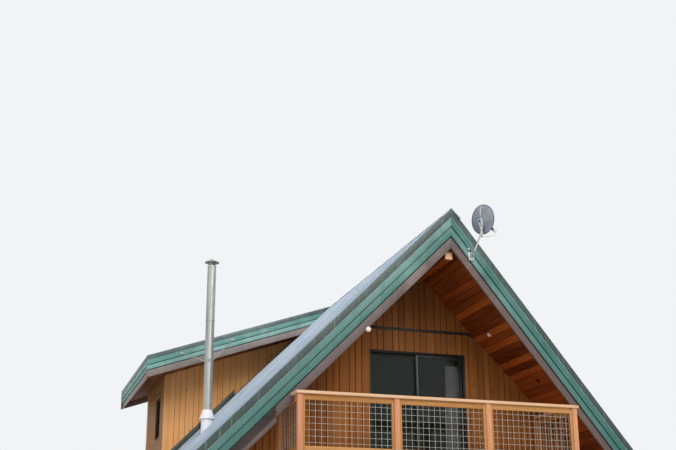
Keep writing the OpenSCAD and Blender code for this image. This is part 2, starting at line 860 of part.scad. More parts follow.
foundation_slab();
upper_floor();
side_walls();
lower_front_wall();
upper_front_wall();
back_wall();
gable_belt_trim();
left_roof();
right_roof();
ridge_cap();
ridge_beam();
rafters();
soffit_linings();
rake_edge_trim();
rake_fascias();
barge_boards();
back_rake_boards();
eave_fascias();
dormer_end_walls();
dormer_outer_wall();
dormer_roof();
dormer_fascia();
dormer_barge_boards();
dormer_edge_trim();
wall_flashing();
stove_pipe();
pipe_flashing();
pipe_cap();
pipe_braces();
dish_reflector();
dish_arm();
dish_mast();
balcony_deck();
balcony_joists();
balcony_posts();
railing_posts();
railing_cap();
railing_frames();
railing_mesh_front();
railing_mesh_sides();
door_frames();
door_glass();
window_frames();
window_glass();
soffit_lights();
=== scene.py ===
"""Looks of a timber cabin with a steep pointed roof, a mesh-railed balcony and a shed dormer.

Boards, sheets, glass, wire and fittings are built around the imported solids, all in metres, in their frame:
X runs across the front, the front looks towards -Y, and Z = 0 is the ground.
"""
import json
import logging
import math
import random
from dataclasses import dataclass, field
from enum import Enum
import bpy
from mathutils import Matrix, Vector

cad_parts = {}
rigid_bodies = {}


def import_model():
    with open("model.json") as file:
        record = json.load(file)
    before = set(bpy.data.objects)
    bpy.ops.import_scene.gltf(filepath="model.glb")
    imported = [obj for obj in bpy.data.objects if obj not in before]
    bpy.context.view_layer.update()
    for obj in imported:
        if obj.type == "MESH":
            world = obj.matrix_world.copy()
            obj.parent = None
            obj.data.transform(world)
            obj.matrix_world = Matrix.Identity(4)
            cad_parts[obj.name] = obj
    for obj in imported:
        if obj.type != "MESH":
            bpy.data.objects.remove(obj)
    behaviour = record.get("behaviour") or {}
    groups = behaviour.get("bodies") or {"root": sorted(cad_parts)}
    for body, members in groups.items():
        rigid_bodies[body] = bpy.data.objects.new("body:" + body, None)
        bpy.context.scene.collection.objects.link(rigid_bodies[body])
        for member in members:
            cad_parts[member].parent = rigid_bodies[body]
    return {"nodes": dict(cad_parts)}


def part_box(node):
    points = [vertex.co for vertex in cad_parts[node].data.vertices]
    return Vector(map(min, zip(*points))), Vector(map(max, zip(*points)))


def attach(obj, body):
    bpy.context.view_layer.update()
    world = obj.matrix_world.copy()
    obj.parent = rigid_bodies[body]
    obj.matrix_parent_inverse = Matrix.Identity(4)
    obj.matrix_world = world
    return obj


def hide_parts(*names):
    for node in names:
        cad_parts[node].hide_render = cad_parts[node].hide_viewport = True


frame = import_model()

from types import SimpleNamespace
from typing import Any, Iterable, Optional, Sequence

import bmesh
import bpy
from bpy.types import Material, Mesh, Node, NodeSocket, NodeTree, Object
from mathutils import Matrix, Vector

LOG = logging.getLogger("cabin")
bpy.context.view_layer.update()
BODY = "root"
Rgb = tuple[float, float, float]
Point = tuple[float, float, float]
# Angle in degrees above which an edge stays sharp.
SHARP = 35.0
# Floors, doors and windows, in metres.
STOREYS = (0.2, 3.3)
DOOR_HALF, DOOR_TALL = 0.915, 2.073
WINDOW, WINDOW_X, SILL, GABLE_SILL = 1.0, 2.7, 1.18, 4.25
SIDE_WINDOWS = (-1.9, 2.9)
# Thickness of the fascia boards, and of the soffit boards with their play.
FASCIA, LINING = 0.038, 0.013
# A place beyond every wall, and the narrowest strip that is left of a board.
FAR, LEAST_STRIP = 99.0, 0.012


class Grain(Enum):
    """Direction of a board's grain."""

    X = (1.0, 30.0, 30.0)
    Y = (30.0, 1.0, 30.0)
    Z = (30.0, 30.0, 1.0)


def colour(code: str) -> tuple[float, float, float, float]:
    """Turns a colour as a painter names it into the renderer's numbers.

    Args:
        code: Six hexadecimal digits.

    Returns:
        Linear red, green and blue, and 1 for alpha.
    """
    parts = [int(code[i:i + 2], 16) / 255 for i in (0, 2, 4)]
    linear = [p / 12.92 if p <= 0.04045 else ((p + 0.055) / 1.055) ** 2.4 for p in parts]
    return (*linear, 1.0)


class Ex:
    """A number that a node gives, with Python's own operators."""

    def __init__(self, tree: "Tree", socket: NodeSocket) -> None:
        """Keeps the tree and the socket."""
        self.tree = tree
        self.socket = socket

    def _math(self, operation: str, *values: Any) -> "Ex":
        """Adds one Math node and returns its result."""
        node = self.tree.node("ShaderNodeMath", {"operation": operation}, dict(enumerate(values)))
        return Ex(self.tree, node.outputs[0])

    def __add__(self, other: Any) -> "Ex":
        """Sum."""
        return self._math("ADD", self, other)

    def __radd__(self, other: Any) -> "Ex":
        """Sum, the other way round."""
        return self._math("ADD", other, self)

    def __sub__(self, other: Any) -> "Ex":
        """Difference."""
        return self._math("SUBTRACT", self, other)

    def __rsub__(self, other: Any) -> "Ex":
        """Difference, the other way round."""
        return self._math("SUBTRACT", other, self)

    def __mul__(self, other: Any) -> "Ex":
        """Product."""
        return self._math("MULTIPLY", self, other)

    def __abs__(self) -> "Ex":
        """Size without sign."""
        return self._math("ABSOLUTE", self)

    def fract(self) -> "Ex":
        """What is left over a whole number."""
        return self._math("FRACT", self)

    def least(self, other: Any) -> "Ex":
        """The smaller of two."""
        return self._math("MINIMUM", self, other)

    def most(self, other: Any) -> "Ex":
        """The greater of two."""
        return self._math("MAXIMUM", self, other)

    def band(self, low: float, high: float) -> "Ex":
        """Runs smoothly from 0 at low to 1 at high."""
        node = self.tree.node("ShaderNodeMapRange", {"interpolation_type": "SMOOTHSTEP"},
                              {"Value": self, "From Min": low, "From Max": high})
        return Ex(self.tree, node.outputs[0])


class Tree:
    """A node tree that is built by calls."""

    def __init__(self, tree: NodeTree) -> None:
        """Keeps the tree and empties it."""
        self.tree = tree
        tree.nodes.clear()

    def node(self, kind: str, settings: Optional[dict[str, Any]] = None,
             sockets: Optional[dict[Any, Any]] = None) -> Node:
        """Adds a node.

        Args:
            kind: The node's type.
            settings: Its properties, set before its sockets.
            sockets: Values or links by input name or number.

        Returns:
            The node.
        """
        made = self.tree.nodes.new(kind)
        for key, value in (settings or {}).items():
            setattr(made, key, value)
        for key, value in (sockets or {}).items():
            self.feed(made.inputs[key], value)
        return made

    def feed(self, target: NodeSocket, value: Any) -> None:
        """Links or sets one input."""
        if isinstance(value, Ex):
            self.tree.links.new(value.socket, target)
        elif isinstance(value, NodeSocket):
            self.tree.links.new(value, target)
        else:
            target.default_value = value

    def geo(self, kind: str, sockets: dict[Any, Any], **settings: Any) -> NodeSocket:
        """Adds a Geometry Nodes node and returns its first output."""
        return self.node(f"GeometryNode{kind}", settings, sockets).outputs[0]

    def vector(self, **parts: Any) -> NodeSocket:
        """Joins X, Y and Z in a vector."""
        return self.node("ShaderNodeCombineXYZ", None, parts).outputs[0]

    def number(self, kind: str, output: Any, settings: Optional[dict[str, Any]] = None,
               sockets: Optional[dict[Any, Any]] = None) -> Ex:
        """Adds a node and returns one of its outputs as an expression."""
        return Ex(self, self.node(kind, settings, sockets).outputs[output])


class Shade(Tree):
    """A material's tree with the few patterns that the finishes share."""

    def __init__(self, name: str) -> None:
        """Starts a material with a Principled shader."""
        self.material = bpy.data.materials.new(name)
        self.material.use_nodes = True
        super().__init__(self.material.node_tree)
        self.place = self.node("ShaderNodeTexCoord").outputs["Object"]
        split = self.node("ShaderNodeSeparateXYZ", sockets={0: self.place})
        self.x, self.y, self.z = (Ex(self, split.outputs[i]) for i in range(3))
        self.tone = self.number("ShaderNodeAttribute", "Fac", {"attribute_name": "tone"})

    def stretched(self, scale: Sequence[float], jump: float = 0.0) -> NodeSocket:
        """Object coordinates, scaled along each axis and moved by the board's own tone.

        Args:
            scale: How often the pattern repeats in a metre along X, Y and Z.
            jump: How far the pattern jumps from one board to the next.

        Returns:
            The vector socket.
        """
        at = self.node("ShaderNodeMapping", sockets={"Vector": self.place, "Scale": tuple(scale)}).outputs[0]
        if not jump:
            return at
        shift = self.vector(**{axis: self.tone * (jump * (1 + 0.7 * i)) for i, axis in enumerate("XYZ")})
        return self.node("ShaderNodeVectorMath", {"operation": "ADD"}, {0: at, 1: shift}).outputs[0]

    def noise(self, vector: NodeSocket, scale: float, detail: float = 3.0, rough: float = 0.55,
              twist: float = 0.0) -> Ex:
        """A cloudy pattern from 0 to 1."""
        return self.number("ShaderNodeTexNoise", "Fac", None, {
            "Vector": vector, "Scale": scale, "Detail": detail, "Roughness": rough, "Distortion": twist})

    def mix(self, amount: Any, first: Any, second: Any) -> NodeSocket:
        """Mixes two colours."""
        made = self.node("ShaderNodeMix", {"data_type": "RGBA", "clamp_factor": True})
        self.feed(made.inputs[0], amount)
        self.feed(made.inputs[6], first)
        self.feed(made.inputs[7], second)
        return made.outputs[2]

    def bump(self, height: Any, distance: float, strength: float = 1.0) -> NodeSocket:
        """A normal that follows a height pattern, in metres."""
        return self.node("ShaderNodeBump", sockets={
            "Height": height, "Distance": distance, "Strength": strength}).outputs[0]

    def done(self, **sockets: Any) -> Material:
        """Adds the shader with its sockets, and returns the material."""
        names = {key: key.replace("_", " ").title() for key in sockets}
        names.update({"base": "Base Color", "ior": "IOR", "specular": "Specular IOR Level"})
        shader = self.node("ShaderNodeBsdfPrincipled", sockets={names[k]: v for k, v in sockets.items()})
        self.node("ShaderNodeOutputMaterial", sockets={"Surface": shader.outputs[0]})
        return self.material


@dataclass(frozen=True)
class Finish:
    """A named surface that builds its own material."""

    name: str

    def build(self) -> Material:
        """Builds the material."""
        raise NotImplementedError


@dataclass(frozen=True)
class WoodFinish(Finish):
    """Stained boards: streaked along the grain, each with its own tone, with knots and open pores."""

    dark: str
    light: str
    knot: str
    grain: Grain
    contrast: float = 0.55
    boards: float = 0.6
    knots: float = 0.8
    roughness: float = 0.58
    # Heights above which the boards darken, and by how much: painted shade under the overhang, partly darker
    # stain.
    shade_heights: tuple[float, float] = (90.0, 91.0)
    depth: float = 0.5
    weathered: float = 0.0
    specular: float = 0.18

    def build(self) -> Material:
        """Builds the material; above the given heights the boards darken towards the knot colour, as painted
        shade under the roof's overhang together with the darker stain kept there.
        """
        sh = Shade(self.name)
        along = self.grain.value
        streak = sh.noise(sh.stretched([v * 1.1 for v in along], 31.0), 1.0, 5.0, 0.62, 0.4)
        fine = sh.noise(sh.stretched([v * 7.0 for v in along], 17.0), 1.0, 3.0, 0.7)
        patch = sh.noise(sh.stretched((1.3, 1.3, 1.3), 3.0), 1.0, 3.0)
        level = 0.5 + (streak - 0.5) * (2.2 * self.contrast) + (sh.tone - 0.5) * self.boards
        level = level + (fine - 0.5) * 0.35 + (patch - 0.5) * 0.4
        base = sh.mix(level, colour(self.dark), colour(self.light))
        squat = [2.2 if v == 1.0 else 7.5 for v in along]
        cell = sh.node("ShaderNodeTexVoronoi", {"feature": "F1"}, {
            "Vector": sh.stretched(squat, 9.0), "Scale": 1.0, "Randomness": 1.0})
        spot = 1.0 - Ex(sh, cell.outputs["Distance"]).band(0.03, 0.13)
        base = sh.mix(spot * self.knots, base, colour(self.knot))
        # Painted shade: darker towards the top, under the overhang, partly a darker stain there.
        base = sh.mix((sh.z + (patch - 0.5) * 0.8).band(*self.shade_heights) * self.depth, base,
                      colour(self.knot))
        if self.weathered:
            facing = sh.node("ShaderNodeNewGeometry").outputs["Normal"]
            upward = sh.number("ShaderNodeSeparateXYZ", "Z", None, {0: facing})
            base = sh.mix(upward.band(0.5, 0.95) * self.weathered, base, colour(self.knot))
        rough = self.roughness + (streak - 0.5) * 0.25
        normal = sh.bump(streak * 0.5 + fine * 0.5 - spot * 0.3, 0.0012, 0.8)
        return sh.done(base=base, roughness=rough, normal=normal, specular=self.specular)


@dataclass(frozen=True)
class PaintFinish(Finish):
    """Painted boards or sheet: faded patches, runs below the edges, and dirt in the low places."""

    paint: str
    faded: str
    grime: str
    run: Point = (9.0, 9.0, 0.8)
    runs: float = 0.35
    fading: float = 0.5
    roughness: float = 0.5
    metallic: float = 0.0
    texture: float = 0.0006
    sunned: tuple[float, float] = (-2.0, -1.0)

    def build(self) -> Material:
        """Builds the material; it fades more above the sunned heights."""
        sh = Shade(self.name)
        cloud = sh.noise(sh.place, 1.7, 4.0, 0.6)
        speck = sh.noise(sh.place, 60.0, 2.0, 0.6)
        drip = sh.noise(sh.stretched(self.run), 1.0, 4.0, 0.65)
        sun = 0.35 + sh.z.band(*self.sunned) * 0.65
        base = sh.mix((cloud + (sh.tone - 0.5) * 0.3).band(0.3, 0.7) * sun * self.fading, colour(self.paint),
                      colour(self.faded))
        base = sh.mix(drip.band(0.52, 0.72) * self.runs, base, colour(self.grime))
        base = sh.mix(speck.band(0.62, 0.75) * 0.15, base, colour(self.faded))
        rough = self.roughness + (cloud - 0.5) * 0.2 + drip.band(0.5, 0.7) * 0.1
        normal = sh.bump(speck * 0.6 + drip * 0.4, self.texture)
        return sh.done(base=base, roughness=rough, metallic=self.metallic, normal=normal)


@dataclass(frozen=True)
class ZincFinish(Finish):
    """Galvanised steel with its spangle, dulled in patches."""

    bright: str
    dull: str
    metallic: float = 0.85
    roughness: float = 0.42

    def build(self) -> Material:
        """Builds the material."""
        sh = Shade(self.name)
        cells = sh.node("ShaderNodeTexVoronoi", {"feature": "F1"}, {"Vector": sh.place, "Scale": 70.0})
        spangle = sh.number("ShaderNodeSeparateXYZ", 0, None, {0: cells.outputs["Color"]})
        run = sh.noise(sh.stretched((16.0, 16.0, 0.7)), 1.0, 4.0, 0.6)
        cloud = sh.noise(sh.place, 6.0, 4.0)
        base = sh.mix(spangle * 0.2 + run.band(0.4, 0.7) * 0.7, colour(self.bright), colour(self.dull))
        rough = self.roughness + (cloud - 0.5) * 0.3 + (spangle - 0.5) * 0.1
        return sh.done(base=base, roughness=rough, metallic=self.metallic, normal=sh.bump(cloud, 0.0004))


@dataclass(frozen=True)
class PlainFinish(Finish):
    """Moulded or cast surfaces: a fine cloudy colour with a slight texture."""

    first: str
    second: str
    scale: float = 12.0
    roughness: float = 0.5
    metallic: float = 0.0
    texture: float = 0.0004

    def build(self) -> Material:
        """Builds the material."""
        sh = Shade(self.name)
        cloud = sh.noise(sh.place, self.scale, 5.0, 0.6)
        grit = sh.noise(sh.place, self.scale * 14.0, 2.0, 0.6)
        base = sh.mix(cloud.band(0.3, 0.7) * 0.8 + (grit - 0.5) * 0.4, colour(self.first),
                      colour(self.second))
        rough = self.roughness + (cloud - 0.5) * 0.25
        normal = sh.bump(grit * 0.5 + cloud * 0.5, self.texture)
        return sh.done(base=base, roughness=rough, metallic=self.metallic, normal=normal)


@dataclass(frozen=True)
class GlassFinish(Finish):
    """A slightly tinted pane with rain marks."""

    tint: str
    roughness: float = 0.0

    def build(self) -> Material:
        """Builds the material."""
        sh = Shade(self.name)
        mark = sh.noise(sh.stretched((14.0, 14.0, 2.0)), 1.0, 4.0, 0.6)
        base = sh.mix(mark.band(0.55, 0.85) * 0.10, colour(self.tint), colour("6c776f"))
        rough = self.roughness + mark.band(0.6, 0.85) * 0.03
        return sh.done(base=base, roughness=rough, alpha=mark.band(0.5, 0.9) * 0.06 + 0.36, ior=1.5)


@dataclass(frozen=True)
class ClothFinish(Finish):
    """A plain woven cloth."""

    warp: str
    weft: str
    threads: float = 900.0

    def build(self) -> Material:
        """Builds the material."""
        sh = Shade(self.name)
        across = abs((sh.x * self.threads).fract() - 0.5) * 2
        down = abs((sh.z * self.threads).fract() - 0.5) * 2
        cloud = sh.noise(sh.place, 5.0, 4.0)
        base = sh.mix(across * 0.5 + cloud * 0.5, colour(self.warp), colour(self.weft))
        return sh.done(base=base, roughness=0.9, sheen_weight=0.3,
                       normal=sh.bump(across * 0.5 + down * 0.5, 0.0004))


# What the boards of one kind share, and the heights between which paint fades more.
CAP = {"dark": "d2a17b", "light": "eccaa7", "knot": "a46b42", "contrast": 0.4,
       "boards": 0.4, "knots": 0.5, "weathered": 0.75}
POST = {"dark": "b3704a", "light": "dba07a", "knot": "77452b", "contrast": 0.5, "boards": 0.4, "knots": 0.5}
BAR = {"dark": "a26c38", "light": "cf9b61", "knot": "744722", "contrast": 0.45, "boards": 0.5, "knots": 0.5}
SUNNED = (4.6, 7.2)
FINISHES: dict[str, Finish] = dict(
    # The siding darkens from 4.9 m to 6.7 m up: painted shade under the overhang, partly darker stain.
    siding=WoodFinish("stained_siding", "653511", "aa6b2c", "2a1306", Grain.Z, 0.5, 0.35,
                      shade_heights=(4.9, 6.7), depth=0.5),
    gold_siding=WoodFinish("gold_siding", "ee9852", "ffc684", "8a4c1e", Grain.Z, 0.4, 0.3),
    shaded_siding=WoodFinish("shaded_siding", "865628", "b27f46", "4c2c12", Grain.Z, 0.45, 0.35),
    gap=PlainFinish("dark_joint", "140b06", "22130a", roughness=0.9),
    gold_gap=PlainFinish("stained_joint", "4a2510", "66361a", roughness=0.9),
    soffit=WoodFinish("oiled_soffit", "54200a", "b25a22", "200c04", Grain.Y, 0.65, 0.75),
    gold_soffit=WoodFinish("gold_soffit", "5e3418", "a4622e", "2c1407", Grain.Y, 0.6, 0.8),
    soffit_back=PlainFinish("soffit_joint", "180a05", "26110a", roughness=0.9),
    framing=WoodFinish("sawn_framing", "8a6240", "c99f6e", "5a3820", Grain.Y),
    beam=WoodFinish("beam_end_grain", "c99a72", "ecc7a0", "8a5f3c", Grain.Y, 0.3, 0.3, 0.0),
    deck=WoodFinish("deck_cedar", grain=Grain.X, **POST),
    cap_x=WoodFinish("cap_cedar", grain=Grain.X, **CAP),
    cap_y=WoodFinish("cap_cedar_return", grain=Grain.Y, **CAP),
    post=WoodFinish("post_cedar", grain=Grain.Z, **POST),
    joist=WoodFinish("joist_cedar", grain=Grain.Y, **POST),
    frame_x=WoodFinish("frame_cedar_level", grain=Grain.X, **BAR),
    frame_y=WoodFinish("frame_cedar_return", grain=Grain.Y, **BAR),
    frame_z=WoodFinish("frame_cedar_upright", grain=Grain.Z, **BAR),
    green=PaintFinish("green_paint", "336760", "779d96", "2b5148", runs=0.25, fading=0.75, sunned=SUNNED),
    brown=PaintFinish("brown_paint", "584844", "8a7875", "40332f", runs=0.2, fading=0.7, sunned=SUNNED),
    # Lighter copies of the green, brown and edge paints for the dormer: painted light, as the dormer stands
    # in brighter light.
    high_green=PaintFinish("green_paint_lit_copy", "5b968d", "a2c8c3", "3a6b60", runs=0.25, fading=0.85,
                           sunned=SUNNED),
    high_brown=PaintFinish("brown_paint_lit_copy", "6c5e5a", "a39691", "4a3f3b", runs=0.2, fading=0.8,
                           sunned=SUNNED),
    # Near-black strip in the fascia joints: painted shadow.
    reveal=PlainFinish("joint_painted_shadow", "0c1d1b", "122b28", roughness=0.7),
    edge=PaintFinish("edge_metal", "33433f", "55675f", "8a9a92", (24.0, 24.0, 1.6), 0.4, 0.6, 0.45, 0.2,
                     sunned=SUNNED),
    high_edge=PaintFinish("edge_metal_lit_copy", "4a5b5b", "768888", "9aaaa4", (24.0, 24.0, 1.6), 0.4, 0.7, 0.45,
                          0.2, sunned=SUNNED),
    belt=PlainFinish("belt_metal", "120c08", "1c130d", 8.0, 0.6),
    # Pale nosing strip along the fascia tops: a painted highlight.
    glint=PaintFinish("drip_edge_highlight", "9fc3bb", "c4d8d4", "6f9a90", roughness=0.4),
    roof=PaintFinish("roof_sheet", "97a5b2", "b4bfcb", "808e9a", (1.2, 9.0, 1.2), 0.4, 0.7, 0.42, 0.3),
    flashing=PaintFinish("dark_flashing", "39443f", "56625c", "222a27", roughness=0.45, metallic=0.3),
    pale_metal=PaintFinish("pale_sheet", "f6f5fa", "ffffff", "cbc8d4", (9.0, 9.0, 0.8), 0.3, 0.6, 0.5),
    zinc=ZincFinish("zinc_pipe", "b6b7b0", "858781", 0.45, 0.42),
    steel=ZincFinish("mast_steel", "b9bcbb", "8d9190", 0.5, 0.5),
    nail=ZincFinish("nail_steel", "7d7468", "5a5045", 0.5, 0.5),
    wire=ZincFinish("zinc_wire", "d8d4c8", "aaa598", 0.4, 0.5),
    bronze=PlainFinish("bronze_frame", "14110f", "24201c", 9.0, 0.38, 0.5),
    gasket=PlainFinish("black_seal", "0a0a0a", "161616", 30.0, 0.7),
    pane=GlassFinish("window_pane", "222c22", 0.02),
    curtain=ClothFinish("grey_curtain", "a9a6b0", "cfccd4"),
    dish=PlainFinish("dish_paint", "848b95", "a1a7b2", 5.0, 0.5, 0.1),
    # The rib is pale: a painted highlight down a pressed rib.
    rib=PlainFinish("dish_rib_highlight", "b4b8c3", "c9ccd6", 9.0, 0.45, 0.1),
    rim=PlainFinish("dish_rim", "3b4048", "4b5059", 9.0, 0.55, 0.1),
    bracket=PlainFinish("bracket_paint", "b9bdc6", "d0d3da", 14.0, 0.45, 0.2),
    plastic=PlainFinish("pale_plastic", "dbd7cb", "efebe2", 18.0, 0.4),
    lamp_body=PlainFinish("lamp_body", "e6c9b8", "f3ddcf", 18.0, 0.4),
    lens=PlainFinish("lamp_lens", "ecd6cc", "f8ece4", 40.0, 0.25),
    concrete=PlainFinish("cast_concrete", "85837b", "a3a198", 3.0, 0.85, 0.0, 0.002),
)


@dataclass(frozen=True)
class Roof:
    """The two main slopes and the walls under them, in metres."""

    ridge: float = 7.560
    pitch: float = math.radians(45.6)
    eave: float = 5.200
    front: float = -5.650
    back: float = 5.650
    prow: float = 0.224
    depth: float = 0.446
    eave_low: float = ridge - math.tan(pitch) * eave - 0.330
    wall_y: float = -3.974
    back_wall_y: float = 4.950
    wall_x: float = 4.200
    upper_z: float = 3.300

    @property
    def fall(self) -> float:
        """Drop for each metre across."""
        return math.tan(self.pitch)

    @property
    def plumb(self) -> float:
        """Height of a layer for each metre square to the slope."""
        return 1 / math.cos(self.pitch)

    def z(self, x: float, depth: float = 0.0) -> float:
        """Height of a layer at a distance from the ridge."""
        return self.ridge - self.fall * abs(x) - depth * self.plumb

    def x(self, z: float, depth: float = 0.0) -> float:
        """Distance from the ridge at which a layer has a height."""
        return (self.ridge - depth * self.plumb - z) / self.fall

    def edge(self, x: float, inset: float) -> float:
        """Y of the pointed front edge at a distance from the ridge."""
        return self.front + inset + self.prow * abs(x)


@dataclass(frozen=True)
class Dormer:
    """The shed dormer on the left slope, in metres."""

    rake_y: float = 0.528
    wall_y: float = 1.910
    back_y: float = 4.550
    back_over: float = 0.300
    wall_x: float = 3.590
    eave_x: float = 4.225
    fall: float = 0.345
    top: float = 7.455
    depth: float = 0.300
    window_y: float = 2.835
    window_z: float = 4.560
    window_w: float = 0.650
    window_h: float = 0.950

    @property
    def plumb(self) -> float:
        """Height of a layer for each metre square to the slope."""
        return math.sqrt(1 + self.fall ** 2)

    def z(self, x: float, depth: float = 0.0) -> float:
        """Height of a layer at a distance from the ridge."""
        return self.top - self.fall * abs(x) - depth * self.plumb

    def meet(self, roof: Roof, depth: float) -> float:
        """Distance from the ridge at which a layer meets the main roof."""
        return (roof.ridge - self.top + depth * self.plumb) / (roof.fall - self.fall)


ROOF = Roof()
DORMER = Dormer()


def added(name: str, data: Any) -> Object:
    """Puts a new object with its data into the scene."""
    thing = bpy.data.objects.new(name, data)
    bpy.context.scene.collection.objects.link(thing)
    return thing


@dataclass(frozen=True)
class Place:
    """A flat spot: local X runs across, local Y up, and local Z out of the face."""

    origin: Point
    across: Point
    up: Point = (0, 0, 1)

    @property
    def matrix(self) -> Matrix:
        """Turns local places into the row frame."""
        a, b = Vector(self.across).normalized(), Vector(self.up).normalized()
        c = a.cross(b)
        rows = [(a[i], b[i], c[i], self.origin[i]) for i in range(3)]
        return Matrix((*rows, (0, 0, 0, 1)))

    def moved(self, *spot: float) -> "Place":
        """The same face, from another of its own points."""
        return Place(tuple(self.matrix @ Vector(spot)), self.across, self.up)


class Grower:
    """A Geometry Nodes tree with named inputs that can be run for many places."""

    def __init__(self, name: str, inputs: dict[str, Any], sharp: float = SHARP) -> None:
        """Starts the tree.

        Args:
            name: The tree's name.
            inputs: Its inputs' names and first values; an int makes a whole-number input.
            sharp: Angle in degrees above which an edge of the result stays sharp.
        """
        self.sharp = sharp
        self.group = bpy.data.node_groups.new(name, "GeometryNodeTree")
        self.group.is_modifier = True
        face = self.group.interface
        face.new_socket("Geometry", in_out="INPUT", socket_type="NodeSocketGeometry")
        face.new_socket("Geometry", in_out="OUTPUT", socket_type="NodeSocketGeometry")
        kinds = {int: "NodeSocketInt", float: "NodeSocketFloat"}
        for key, value in inputs.items():
            face.new_socket(key, in_out="INPUT", socket_type=kinds[type(value)]).default_value = value
        face.new_socket("Material", in_out="INPUT", socket_type="NodeSocketMaterial")
        self.tree = Tree(self.group)
        self.input = self.tree.node("NodeGroupInput")
        self.ids = {item.name: item.identifier for item in face.items_tree if item.in_out == "INPUT"}

    def given(self, name: str) -> Ex:
        """One input as an expression."""
        return Ex(self.tree, self.input.outputs[name])

    def row(self, start: NodeSocket) -> NodeSocket:
        """Sets points side by side along X."""
        step = self.tree.vector(X=self.given("Pitch"))
        sockets = {"Count": self.given("Count"), "Start Location": start, "Offset": step}
        return self.tree.geo("MeshLine", sockets, mode="OFFSET")

    def swept(self, end: Any, profile: NodeSocket) -> NodeSocket:
        """Sweeps a closed profile from the origin to an end."""
        path = self.tree.geo("CurvePrimitiveLine", {"Start": (0, 0, 0), "End": end})
        return self.tree.geo("CurveToMesh", {"Curve": path, "Profile Curve": profile, "Fill Caps": True})

    def stood(self, points: NodeSocket, shape: NodeSocket) -> NodeSocket:
        """Stands a shape on every point."""
        return self.tree.geo("InstanceOnPoints", {"Points": points, "Instance": shape})

    def end(self, shape: NodeSocket) -> None:
        """Gives the shape its material and links it to the tree's output."""
        dressed = self.tree.node("GeometryNodeSetMaterial", None, {
            "Geometry": shape, "Material": self.input.outputs["Material"]})
        self.tree.node("NodeGroupOutput", None, {"Geometry": dressed.outputs[0]})

    def grow(self, place: Place, material: Material, **values: Any) -> Object:
        """Runs the tree and stands its result in place.

        Args:
            place: Where the result's own axes lie.
            material: What it is made of.
            values: The other inputs by name, with _ for a space.

        Returns:
            A plain mesh object.
        """
        carrier = added("carrier", bpy.data.meshes.new("carrier"))
        modifier = carrier.modifiers.new("grow", "NODES")
        modifier.node_group = self.group
        modifier[self.ids["Material"]] = material
        for key, value in values.items():
            modifier[self.ids[key.replace("_", " ")]] = value
        bpy.context.view_layer.update()
        shape = carrier.evaluated_get(bpy.context.evaluated_depsgraph_get())
        mesh = bpy.data.meshes.new_from_object(shape)
        carrier.modifiers.remove(modifier)
        carrier.data = mesh
        mesh.transform(place.matrix)
        work = bmesh.new()
        work.from_mesh(mesh)
        bmesh.ops.recalc_face_normals(work, faces=work.faces)
        work.to_mesh(mesh)
        work.free()
        mesh.shade_smooth()
        mesh.set_sharp_from_angle(angle=math.radians(self.sharp))
        if not mesh.materials:
            mesh.materials.append(material)
        return carrier


def board_grower() -> Grower:
    """Boards side by side along X, each running along Y between two folded lines."""
    g = Grower("board_field", {
        "Count": 10, "Start": 0.0, "Pitch": 0.137, "Width": 0.13, "Thickness": 0.016, "Chamfer": 0.003,
        "Left": -10.0, "Right": 10.0, "Low": 0.0, "Low Line": -90.0, "Low Slope": 0.0, "High": 1.0,
        "High Line": 90.0, "High Slope": 0.0, "Seed": 1})
    t = g.tree
    points = g.row(t.vector(X=g.given("Start"), Z=g.given("Thickness") * 0.5))
    outline = t.geo("CurvePrimitiveQuadrilateral", {0: g.given("Width"), 1: g.given("Thickness")},
                    mode="RECTANGLE")
    eased = t.geo("FilletCurve", {"Curve": outline, "Radius": g.given("Chamfer"), "Count": 1}, mode="POLY")
    placed = g.stood(points, g.swept((0, 1, 0), eased))
    dice = t.node("FunctionNodeRandomValue", {"data_type": "FLOAT"})
    t.feed(dice.inputs["Seed"], g.given("Seed"))
    toned = t.geo("StoreNamedAttribute", {"Geometry": placed, "Name": "tone", "Value": dice.outputs[1]},
                  data_type="FLOAT", domain="INSTANCE")
    real = t.geo("RealizeInstances", {"Geometry": toned})
    at = t.node("ShaderNodeSeparateXYZ", None, {0: t.geo("InputPosition", {})})
    x = Ex(t, at.outputs[0]).most(g.given("Left")).least(g.given("Right"))
    low = g.given("Low").most(g.given("Low Line") + g.given("Low Slope") * abs(x))
    high = g.given("High").least(g.given("High Line") + g.given("High Slope") * abs(x))
    y = low + Ex(t, at.outputs[1]) * (high - low).most(0.001)
    moved = t.vector(X=x, Y=y, Z=Ex(t, at.outputs[2]))
    g.end(t.geo("SetPosition", {"Geometry": real, "Position": moved}))
    return g


def rod_grower() -> Grower:
    """Round rods side by side along X, each running along Y."""
    g = Grower("rod_row", {"Count": 10, "Pitch": 0.1, "Start": 0.0, "Low": 0.0, "High": 1.0, "Radius": 0.0025,
                           "Off": 0.0, "Sides": 8}, 60.0)
    t = g.tree
    points = g.row(t.vector(X=g.given("Start"), Y=g.given("Low"), Z=g.given("Off")))
    ring = t.geo("CurvePrimitiveCircle", {"Resolution": g.given("Sides"), "Radius": g.given("Radius")},
                 mode="RADIUS")
    rod = g.swept(t.vector(Y=g.given("High") - g.given("Low")), ring)
    g.end(t.geo("RealizeInstances", {"Geometry": g.stood(points, rod)}))
    return g


